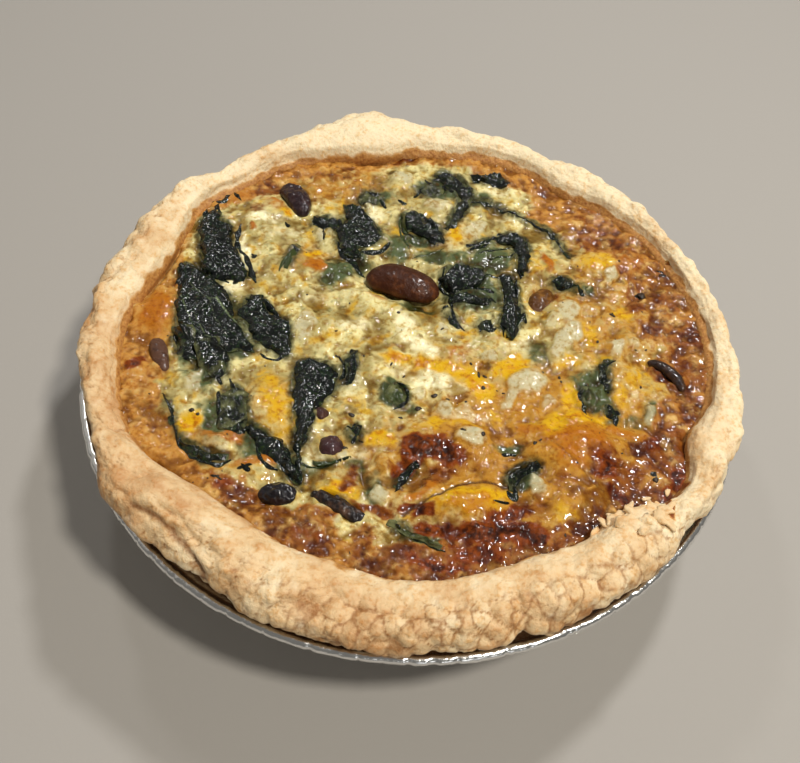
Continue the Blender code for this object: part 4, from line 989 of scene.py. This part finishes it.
def makeLeaf(number, node, material):
    body = bmesh.new()
    body.from_mesh(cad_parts[node].data)
    bmesh.ops.remove_doubles(body, verts=body.verts, dist=0.01 * mm)
    walls = [face for face in body.faces if abs(face.normal.z) < 0.25]
    outline = []
    for face in walls:
        for edge in face.edges:
            a, b = (Vector(v.co) / mm for v in edge.verts)
            if (a - b).xy.length > 0.4 and abs(a.z - b.z) < 0.75 * (a - b).length:
                outline.append((a.x, a.y, b.x, b.y))
    bmesh.ops.subdivide_edges(body, edges=body.edges, cuts=leafLook["cuts"], use_grid_fill=True)
    bmesh.ops.triangulate(body, faces=body.faces)
    for _ in range(3):
        bmesh.ops.smooth_vert(body, verts=body.verts, factor=0.5, use_axis_x=True, use_axis_y=True,
                              use_axis_z=True)
    p = np.array([v.co for v in body.verts]) / mm
    faces = [[v.index for v in face.verts] for face in body.faces]
    body.free()
    away = np.full(len(p), 99.0)
    for stretch in outline:
        away = np.minimum(away, awayFrom(p[:, 0], p[:, 1], *stretch))
    place = flat(p[:, 0], p[:, 1], number * 3.0)
    wide, wideSize, narrow, narrowSize = leafLook["ragged"]
    slim = min(1.0, away.max() / 1.8)
    for axis in (0, 1):
        tear = wide * noise(place, wideSize, 200 + axis) + narrow * noise(place, narrowSize, 210 + axis)
        p[:, axis] += slim * tear
    inside = smooth(away / leafLook["tuckWidth"])
    c, s = math.cos(1.1 * number), math.sin(1.1 * number)  # each leaf is creased its own way
    stretched = np.stack([c * p[:, 0] + s * p[:, 1], 0.5 * (c * p[:, 1] - s * p[:, 0]), place[:, 2]], axis=1)
    stretched += 0.7 * np.stack([noise(place, 3.0, 220), noise(place, 3.0, 221), place[:, 2] * 0], axis=1)
    ridge = 1 - 2.4 * np.abs(noise(stretched, leafLook["wrinkleSize"], 230))
    ridge += 0.5 * (1 - 2.4 * np.abs(noise(stretched, leafLook["wrinkleSize"] / 2, 231)))
    p[:, 2] += slim * leafLook["wrinkles"] * (0.35 + 0.65 * inside) * (ridge - 0.4) * 0.7
    p[:, 2] -= leafLook["tuck"] * (1 - inside) * (0.35 + 0.65 * slim)
    p[:, 2] -= leafLook["lie"] + leafLook["sunk"].get(number, 0.0)
    smear = leafLook["smeared"].get(number, 0.0)
    masks = {
        "smear": (np.full(len(p), smear) + 0.25 * (smear > 0) * fractal(place, 3.0, 2, 240)
                  + 0.15 * (1 - inside)),
        "stem": np.full(len(p), leafLook["stems"].get(number, 0.0)),
        "vein": lines(p[:, 0], p[:, 1], leafLook["veins"]),
        "rim": 1 - inside,
    }
    return makePiece(f"spinachLeaf{number:02d}", p, faces, material, "spinach", [node], masks)


# Shreds: thin strips, stems and torn edges of leaves

shredLook = {
    "spacing": 0.4,  # of the points along it
    # (share of the half width, lift) of its section
    "section": ((1.1, -0.9), (1.0, -0.25), (0.6, 0.12), (0.15, 0.24), (-0.3, 0.2), (-0.75, 0.04),
                (-1.1, -0.35), (-1.1, -1.0), (0, -1.2)),
    # ((x, y), ... , half width, share of green stem)
    "routes": (
        ((-56, 40.2), (-53, 42.4), (-50.6, 43), (-49.6, 46.6), 0.9, 0),
        ((-49.6, 48.4), (-47.6, 45.6), (-46, 43.6), 0.5, 0),
        ((-54.4, 39), (-53.2, 33), (-53.4, 26), 0.9, 0),
        ((-45, 35), (-44.6, 28), (-41, 22), (-38.4, 15.4), 0.8, 0),
        ((-57.6, 19.8), (-54, 17.6), (-50, 18.4), (-44.6, 15), 0.9, 0),
        ((-39.8, 9.6), (-36.6, 10.4), (-33.6, 7.8), (-31, 3.4), 0.7, 0),
        ((-41, 6), (-39.4, 4.4), (-37.6, 6.4), 0.6, 0.2),
        ((-34.4, -6.4), (-31, -7.8), (-28.4, -5.4), 0.7, 0),
        ((-54.6, -1), (-52.6, -6), (-49.6, -9.8), 0.8, 0.1),
        ((-48, -5), (-45, -10), (-41.4, -15.8), 0.9, 0),
        ((-40, -14), (-38, -18), (-36, -24), (-33.4, -28.6), 0.8, 0.2),
        ((-41.6, -18), (-40.6, -23), (-38.4, -27.6), 0.7, 0.2),
        ((-34, -27), (-30.4, -30.4), (-27, -34), (-23, -38.8), 0.8, 0),
        ((-23.8, -30), (-22.4, -33.6), (-21.2, -39.8), 0.9, 0),
        ((-22.8, -34.8), (-19.4, -35.8), (-15, -34.4), (-11.4, -32.4), 0.4, 0.6),
        ((-31, -31.8), (-29.6, -35.6), (-26.4, -36.6), 0.6, 0),
        ((-53.6, -19.2), (-51.2, -23.4), (-49.4, -28), (-48, -31.6), (-45, -34.6), 0.36, 0.3),
        ((-47.4, -32.2), (-43, -35.8), (-38.6, -37), (-36.2, -35), 0.8, 0.1),
        ((-13.8, -4.4), (-12.4, -8.6), (-13, -14), 0.6, 0),
        ((-16.4, -5.4), (-14.8, -9), (-15.4, -12.4), 0.4, 0.2),
        ((-2.8, -12.2), (-0.4, -13.8), (-0.4, -17.2), (-3, -19.6), 0.55, 0),
        ((-26.8, 37), (-23, 38.6), (-19.4, 36.6), 0.9, 0),
        ((-16.8, 44.2), (-16.6, 40.4), (-14.6, 36.6), 0.7, 0),
        ((-19.6, 31), (-18.6, 27), (-15.4, 24.4), (-12.4, 21.2), 0.7, 0),
        ((-6.8, 31.8), (-9.6, 28.6), (-14, 27.4), 0.9, 0), ((-23.4, 31.2), (-23.8, 34.6), 0.5, 0),
        ((-13.6, 49.6), (-10.4, 47.8), (-8.6, 44.8), 0.7, 0), ((-16, 48.6), (-14.4, 45.4), 0.4, 0),
        ((-5.8, 47.8), (-3.4, 46.2), 0.4, 0), ((-3.2, 42.6), (0.6, 42.8), (4.6, 38.4), (6.6, 33), 0.8, 0),
        ((-3.4, 41.4), (-3.8, 37), (-0.8, 34.8), 0.5, 0), ((-4.6, 42), (-4.6, 37), (-2, 30.6), 0.35, 0.8),
        ((-1, 27.2), (3, 29), (6.8, 30.8), 0.28, 0.8),
        ((3.4, 57.4), (7, 58.6), (10.4, 55.6), (12.6, 50.6), 1.0, 0),
        ((-0.2, 52.6), (2.6, 50.4), (6.2, 52.8), 0.6, 0.1), ((1, 56.4), (3.8, 53.4), 0.5, 0),
        ((-1.8, 49.4), (0.6, 52.8), 0.5, 0), ((5.8, 55.4), (8.8, 52.2), 0.5, 0.1),
        ((12.8, 51), (11.4, 46), (9.6, 42.4), (7.6, 37.6), 0.6, 0),
        ((12.2, 50.6), (16, 48.6), (21, 47.2), (25.6, 44.9), (30, 42.4), (34.4, 37.6),
         (38.6, 30), 0.42, 0.15),
        ((13.6, 59.6), (17, 57.4), (23.6, 57.4), 0.7, 0), ((17.6, 60.8), (18.6, 57.6), 0.5, 0),
        ((13.2, 30.2), (16, 31.6), (19, 35.2), (23.4, 36.7), (27.6, 35), 0.8, 0),
        ((27.6, 35), (27, 29.6), (25.8, 23), 0.9, 0), ((15.4, 29.4), (20, 31.2), (24.8, 33.8), 0.35, 0.3),
        ((17.6, 27.6), (21.4, 28.6), (25, 30.4), 0.3, 0.5),
        ((7, 22.8), (6.2, 19), (8.4, 16.4), (9, 12), (9.6, 8.4), (12.2, 4.8), 0.55, 0),
        ((8, 22.6), (12, 21.6), (17.6, 22.6), (21.4, 22), 0.6, 0),
        ((9, 17.4), (13, 18.6), (19.4, 17.2), 0.7, 0), ((9.4, 14.6), (14, 13.4), (19.8, 14.4), 0.8, 0),
        ((8.8, 7), (11.2, 5.4), 0.7, 0), ((15.8, 6.8), (17.4, 4.6), (19.6, 5.2), 0.9, 0),
        ((24.8, 22.6), (24.6, 15), (25.6, 10), (23.8, 5.4), (21.8, 3), 0.6, 0),
        ((21.6, 21.8), (22.2, 14), (21.2, 7), (21.6, 3), 0.6, 0), ((26, 11), (26.6, 8.2), 0.5, 0),
        ((33.6, 21.6), (35.6, 23), (37.6, 21), 0.9, 0), ((38.4, 20.6), (41, 17.8), 0.7, 0.5),
        ((46.8, -2.4), (44, -4.8), (43, -8), (44.8, -11.2), 0.5, 0),
        ((39.8, -9.4), (38, -13), (39.4, -17.6), 0.5, 0.1),
        ((43.2, -15.2), (45.4, -17), (45.4, -20.4), 0.9, 0),
        ((22.6, -37.2), (25, -34.4), (28.8, -32.8), 0.6, 0),
        ((21.4, -38.4), (23.2, -39.8), (22.6, -36.4), 0.8, 0), ((20.4, -30), (23.6, -29.4), 0.5, 0.3),
        ((18.4, -41.6), (21.8, -41.2), 0.4, 0.1), ((-1.8, -47.4), (2, -50.6), (9, -53.8), 0.38, 0.5),
        ((1.6, -34.4), (0, -38), (-1.8, -40.8), 0.5, 0),
        ((-12.8, -25.2), (-10.6, -26), (-11.6, -29), 0.5, 0), ((-33.8, -36.4), (-31.6, -37.4), 0.6, 0),
        ((-38.8, -39.4), (-37.2, -40.2), 0.3, 0), ((-33.9, 36.6), (-32.9, 34.9), 0.4, 0),
        ((-40.8, 24.8), (-39.3, 24), 0.35, 0), ((-31.4, 28.4), (-29.4, 27.2), 0.5, 0),
        ((-31.2, 25.4), (-32.6, 21.4), (-33, 19.2), 0.5, 0.9), ((59.8, 28.2), (61.6, 27.6), 0.4, 0)),
}


def makeShreds(material):
    bodies, greens = [], []
    for number, (*route, half, green) in enumerate(shredLook["routes"]):
        knots = np.array([route[0], *route, route[-1]], float)
        middle = []
        for a, b, c, d in zip(knots, knots[1:], knots[2:], knots[3:]):
            count = max(2, int(np.linalg.norm(c - b) / shredLook["spacing"]))
            for t in np.arange(count) / count:
                middle.append(0.5 * (2 * b + (c - a) * t + (2 * a - 5 * b + 4 * c - d) * t ** 2
                                     + (3 * b - a - 3 * c + d) * t ** 3))
        middle = np.array(middle + [knots[-1]])
        place = flat(middle[:, 0], middle[:, 1], number)
        middle = middle + 0.35 * np.stack([noise(place, 2.4, 401), noise(place, 2.4, 402)], axis=1)
        along = np.gradient(middle, axis=0)
        side = np.stack([-along[:, 1], along[:, 0]], axis=1) / np.linalg.norm(along, axis=1)[:, None]
        ends = np.linspace(0, 1, len(middle))
        taper = 0.35 + 0.65 * smooth(np.minimum(ends, 1 - ends) * 5)
        width = half * taper * (1 + 0.7 * noise(place, 2.0, 403))
        rings = []
        for across, lift in shredLook["section"]:
            spot = middle + side * (across * width)[:, None]
            ruffle = 1 + 0.8 * noise(flat(spot[:, 0], spot[:, 1], number), 1.3, 404)
            rise = lift * np.minimum(1.0, half / 0.5) * (ruffle if lift > 0 else 1.0)
            rings.append(np.column_stack([spot, sample(surfaceMap, spot[:, 0], spot[:, 1]) + rise]))
        rings = np.stack(rings, axis=1)
        tips = np.stack([rings[0].mean(0), rings[-1].mean(0)])
        bodies.append((np.vstack([rings.reshape(-1, 3), tips]), closedFaces(len(rings), rings.shape[1])))
        greens.append(np.full(len(bodies[-1][0]), float(green)))
    points, faces = joined(bodies)
    zero = np.zeros(len(points))
    masks = {"smear": zero, "stem": np.concatenate(greens), "vein": zero, "rim": zero}
    return makePiece("spinachShreds", points, faces, material, "spinach", None, masks)


leafMaterial = spinachMaterial()
makeShreds(leafMaterial)
for number, node in enumerate(leafNodes, start=1):
    makeLeaf(number, node, leafMaterial)
print("laid", len(leafNodes), "spinach leaves")


# Beans: cooked kidney and black beans, glossy skins, some half sunk

beanLook = {
    "rounding": 3,  # times that each face of the solid is divided and rounded
    # how far it is sunk and how wrinkled, by number
    "lie": {1: (0.3, 0.3), 2: (0.6, 0.9), 3: (1.2, 0.8), 4: (1.1, 1.2), 5: (1.3, 1.3), 6: (1.0, 0.7),
            7: (0.7, 0.3), 8: (0.8, 0.5), 9: (0.5, 0.5)},
    "swell": 0.5,  # how much wider the finished skin is than the solid
    # weight of its clear wet coat, by number, and for the rest
    "gloss": {1: 0.15, 3: 0.3, 4: 0.7, 8: 0.3},
    "glossElse": 0.4,
    "grains": {"wide": (3.0, 3, 0), "soft": (1.6, 1, 0), "mid": (1.2, 3, 0), "fine": (0.5, 3, 0)},
    "relief": (("mid", 0.20), ("fine", 0.15)),
    "coatRelief": (("soft", 0.16),),
    # skin and the colour it is mottled with, by number
    "skins": {
        1: ("#3c1c0c", "#623619"), 2: ("#26151a", "#4c3836"), 3: ("#54300e", "#875a22"),
        4: ("#100d12", "#2a2026"), 5: ("#1c1515", "#5a4030"), 6: ("#452b2c", "#2a1b1e"),
        7: ("#3a2220", "#6b4a38"), 8: ("#5a3d2e", "#38221c"), 9: ("#241713", "#4a2e1c"),
    },
}


def makeBean(number, node):
    near, far = beanLook["skins"][number]
    # cooked bean: tight thin skin full of water, so deep colour under a clean wet gloss
    material, tree, shader, noises = newMaterial(f"cookedBeanSkin{number}", beanLook, {
        "Roughness": 0.4, "IOR": 1.45, "Specular IOR Level": 0.2,
        "Coat Weight": beanLook["gloss"].get(number, beanLook["glossElse"]), "Coat Roughness": 0.12})
    mottled = (near, (far, "wide", "mid", 0.9, 0.4, 0.9))
    dress(tree, shader, noises, {**beanLook, "colours": mottled})

    body = bmesh.new()
    body.from_mesh(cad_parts[node].data)
    bmesh.ops.remove_doubles(body, verts=body.verts, dist=0.01 * mm)
    mesh = bpy.data.meshes.new("beanBlank")
    body.to_mesh(mesh)
    body.free()
    blank = bpy.data.objects.new("beanBlank", mesh)
    bpy.context.scene.collection.objects.link(blank)
    blank.modifiers.new("round", "SUBSURF").levels = beanLook["rounding"]
    graph = bpy.context.evaluated_depsgraph_get()
    made = blank.evaluated_get(graph).to_mesh()
    p = np.array([v.co for v in made.vertices]) / mm
    faces = [list(face.vertices) for face in made.polygons]
    blank.evaluated_get(graph).to_mesh_clear()
    bpy.data.objects.remove(blank)
    bpy.data.meshes.remove(mesh)
    middle = p.mean(0)
    span = np.ptp(p, axis=0)
    p[:, :2] = middle[:2] + (p[:, :2] - middle[:2]) * (1 + beanLook["swell"] / span[:2].max())
    sunk, wrinkled = beanLook["lie"][number]
    p[:, 2] += wrinkled * (0.5 * noise(p, 2.6, 300 + number) + 0.3 * noise(p, 1.1, 310)) - sunk
    return makePiece(f"beanSkin{number:02d}", p, faces, material, "bean", [node])


for number, node in enumerate(beanNodes, start=1):
    makeBean(number, node)
print("laid", len(beanNodes), "beans")


# Flecks: coarse ground black pepper and chopped herb, over the custard

flecks = {
    # (x, y, size)
    "placed": (
        (-3.5, 8.5, 1.1), (55.3, 19, 1.8), (43.2, 3.2, 1.0), (7, 4, 0.9), (-12.2, -21.8, 1.3),
        (-4.3, -7, 1.1), (-1.3, -9.6, 1.0), (-1.5, -22, 1.0), (2.3, -19, 1.1), (-46.5, -23.6, 1.0),
        (-45, -24.6, 1.0), (13.8, -5.3, 1.1), (15.6, -8.3, 1.3), (16.5, -12, 1.1), (21, -13.2, 1.0),
        (5.7, -15, 1.2), (30, -6.8, 1.0), (33.8, -8, 0.9), (16.3, -25.8, 1.1), (12, -25, 0.9),
        (52, -9.3, 1.3), (52.5, -33.8, 1.2), (60.8, 26.8, 1.2), (47.4, 11.8, 1.2), (8.6, -16.4, 0.8),
        (27.4, -27, 0.9), (28.6, -26.2, 0.8), (-8, 24.2, 0.8), (34, -9.4, 0.7), (17, -8.8, 1.0),
        (12.6, -16.8, 0.6), (-16.8, -5.4, 0.9), (-17.6, 1.2, 0.6), (-25.6, 12.4, 0.6), (3.4, 36.4, 0.7),
        (-42.6, 22, 0.6), (50.4, 29.4, 0.7)),
    "scattered": 80,  # how many more, at random
    "sizes": (0.25, 0.6),
    "reach": 60,  # radius that these are scattered in
    "grains": {"mid": (0.5, 3, 0), "fine": (0.3, 3, 0)},
    "colours": ("#120c08", ("#3b2a16", "mid", "fine", 0.6)),
}


def makeFlecks():
    # crushed pepper and herb: hard dry corns and flat scraps, dark with a dull shine
    material, tree, shader, noises = newMaterial("crushedPepperAndHerb", flecks, {
        "Roughness": 0.45, "IOR": 1.45})
    dress(tree, shader, noises, flecks)
    body = bmesh.new()
    bmesh.ops.create_icosphere(body, subdivisions=2, radius=0.5)
    blank = np.array([v.co for v in body.verts])
    blankFaces = [tuple(v.index for v in face.verts) for face in body.faces]
    body.free()
    rng = np.random.default_rng(7)
    spots = [list(spot) for spot in flecks["placed"]]
    while len(spots) < len(flecks["placed"]) + flecks["scattered"]:
        angle, reach = rng.uniform(0, 2 * np.pi), flecks["reach"] * math.sqrt(rng.uniform())
        spots.append([reach * math.cos(angle), reach * math.sin(angle), rng.uniform(*flecks["sizes"])])
    spots = np.array(spots)
    heights = sample(surfaceMap, spots[:, 0], spots[:, 1])
    bodies = []
    for (x, y, size), height in zip(spots, heights):
        corn = blank * (0.85 + 0.45 * rng.uniform(-1, 1, 3) * (1, 1, 0.4))
        corn *= (1 + 0.6 * noise(corn + rng.uniform(0, 50, 3), 0.5, 501))[:, None]
        turn = rng.uniform(0, np.pi)
        c, s = math.cos(turn), math.sin(turn)
        corn[:, :2] = corn[:, :2] @ np.array([[c, s], [-s, c]])
        bodies.append((corn * size * (1, 1, 0.5) + (x, y, height + 0.06 * size), blankFaces))
    return makePiece("pepperFlecks", *joined(bodies), material, "spinach", None)


makeFlecks()
print("scattered the flecks")


# Loose flakes: thin leaves of pastry broken off the roll where it breaks up over the custard

flakeLook = {
    # (share of the size, lift) of its section
    "section": ((0.3, -1.0), (0.75, -0.95), (1.0, -0.5), (1.0, -0.3), (0.8, -0.12), (0.4, -0.05)),
    # (x, y, size, turn)
    "spots": (
        (43.0, -45.4, 2.6, 20), (45.8, -42.6, 1.6, 65), (46.8, -44.8, 3.2, -10), (48.9, -41.3, 1.4, 40),
        (50.0, -43.6, 2.8, 80), (41.0, -46.8, 2.0, -30), (44.9, -47.2, 2.6, 10), (52.2, -40.2, 1.2, -20),
        (49.9, -38.6, 0.9, 15), (38.6, -48.2, 1.4, 60), (53.0, -43.0, 2.2, 30), (42.0, -43.4, 0.9, 0),
        (54.6, -36.6, 1.0, 70), (46.4, -40.4, 0.8, 90), (48.2, -46.8, 2.8, 50), (51.4, -45.8, 2.4, -40),
        (45.2, -44.6, 1.2, 70), (40.2, -45.0, 0.7, 10), (47.6, -42.9, 1.0, 25)),
    "slimness": 0.55,  # width as a share of the length
    "toastLightAndShade": 0.6,
}


def makeFlakes(material):
    tree = treeOf("crust")
    around = np.linspace(0, 2 * np.pi, 28, endpoint=False)
    bodies = []
    for number, (x, y, size, turn) in enumerate(flakeLook["spots"]):
        c, s = math.cos(math.radians(turn)), math.sin(math.radians(turn))
        onRoll = drop(tree, [x], [y], 0).item() - 0.5
        onCustard = sample(surfaceMap, np.array([x]), np.array([y])).item()
        ground = max(onRoll, onCustard)
        rings = []
        for share, lift in flakeLook["section"]:
            outline = np.stack([size * share * np.cos(around),
                                flakeLook["slimness"] * size * share * np.sin(around)], axis=1)
            outline *= (1 + 0.7 * noise(flat(outline[:, 0], outline[:, 1], 9 * number), 1.3, 601))[:, None]
            spot = np.stack([x + c * outline[:, 0] - s * outline[:, 1],
                             y + s * outline[:, 0] + c * outline[:, 1]], axis=1)
            curl = 0.8 * noise(flat(spot[:, 0], spot[:, 1], number), 2.4, 602)
            rings.append(np.column_stack([spot, ground + 0.5 + lift + curl]))
        tips = np.stack([rings[0].mean(0), rings[-1].mean(0)])
        bodies.append((np.vstack(rings + [tips]), closedFaces(len(rings), len(around))))
    points, faces = joined(bodies)
    masks = {name: np.zeros(len(points)) for name in ("paintedCreviceShade", "crack", "stain", "under")}
    masks["toastLightAndShade"] = np.full(len(points), flakeLook["toastLightAndShade"])
    return makePiece("pastryFlakes", points, faces, material, "pastry", None, masks)


makeFlakes(crustMaterial)
print("broke off the flakes")


# Stage, light and camera

def softbox(name, direction, size, power, colour):
    lamp = bpy.data.lights.new(name, "AREA")
    lamp.shape = "DISK"
    lamp.size = size * mm
    lamp.energy = power
    lamp.color = linearColour(colour)[:3]
    holder = bpy.data.objects.new(name, lamp)
    target = Vector(light["target"]) * mm
    holder.location = target + Vector(direction).normalized() * light["distance"] * mm
    holder.rotation_mode = "QUATERNION"
    holder.rotation_quaternion = (holder.location - target).to_track_quat("Z", "Y")
    bpy.context.scene.collection.objects.link(holder)


def makeStage():
    # matt paper sweep: plain and pale, a faint tooth so that the shadow falls softly
    material, tree, shader, noises = newMaterial("mattPaperSweep", light, {
        "Base Color": linearColour(light["floor"]), "Roughness": 0.7})
    dress(tree, shader, noises, light)
    mesh = bpy.data.meshes.new("floor")
    half = light["floorHalf"] * mm
    corners = [(-half, -half, 0), (half, -half, 0), (half, half, 0), (-half, half, 0)]
    mesh.from_pydata(corners, [], [(0, 1, 2, 3)])
    mesh.materials.append(material)
    floor = bpy.data.objects.new("floor", mesh)
    bpy.context.scene.collection.objects.link(floor)
    for box in light["boxes"]:
        softbox(*box)
    world = bpy.data.worlds.new("room")
    world.use_nodes = True
    background = world.node_tree.nodes["Background"]
    background.inputs["Color"].default_value = linearColour(light["room"])
    background.inputs["Strength"].default_value = light["roomStrength"]
    bpy.context.scene.world = world
    bpy.context.scene.view_settings.view_transform = "Standard"


def makeCamera():
    elevation, roll = math.radians(view["elevation"]), math.radians(view["roll"])
    back = Vector((0, -math.cos(elevation), math.sin(elevation)))
    right, up = Vector((1, 0, 0)), Vector((1, 0, 0)).cross(-back)
    rightHeld = math.cos(roll) * right + math.sin(roll) * up
    upHeld = -math.sin(roll) * right + math.cos(roll) * up
    place = (Vector(view["target"]) + back * view["distance"]) * mm
    camera = bpy.data.objects.new("camera", bpy.data.cameras.new("camera"))
    camera.data.lens = view["lens"]
    camera.data.sensor_width = view["sensor"]
    camera.data.clip_start = 0.01
    camera.matrix_world = Matrix([[*row] for row in zip(rightHeld, upHeld, back, place)]).to_4x4()
    bpy.context.scene.collection.objects.link(camera)
    bpy.context.scene.camera = camera


makeStage()
makeCamera()
print("set the table, the lights and the camera")

bpy.context.view_layer.update()
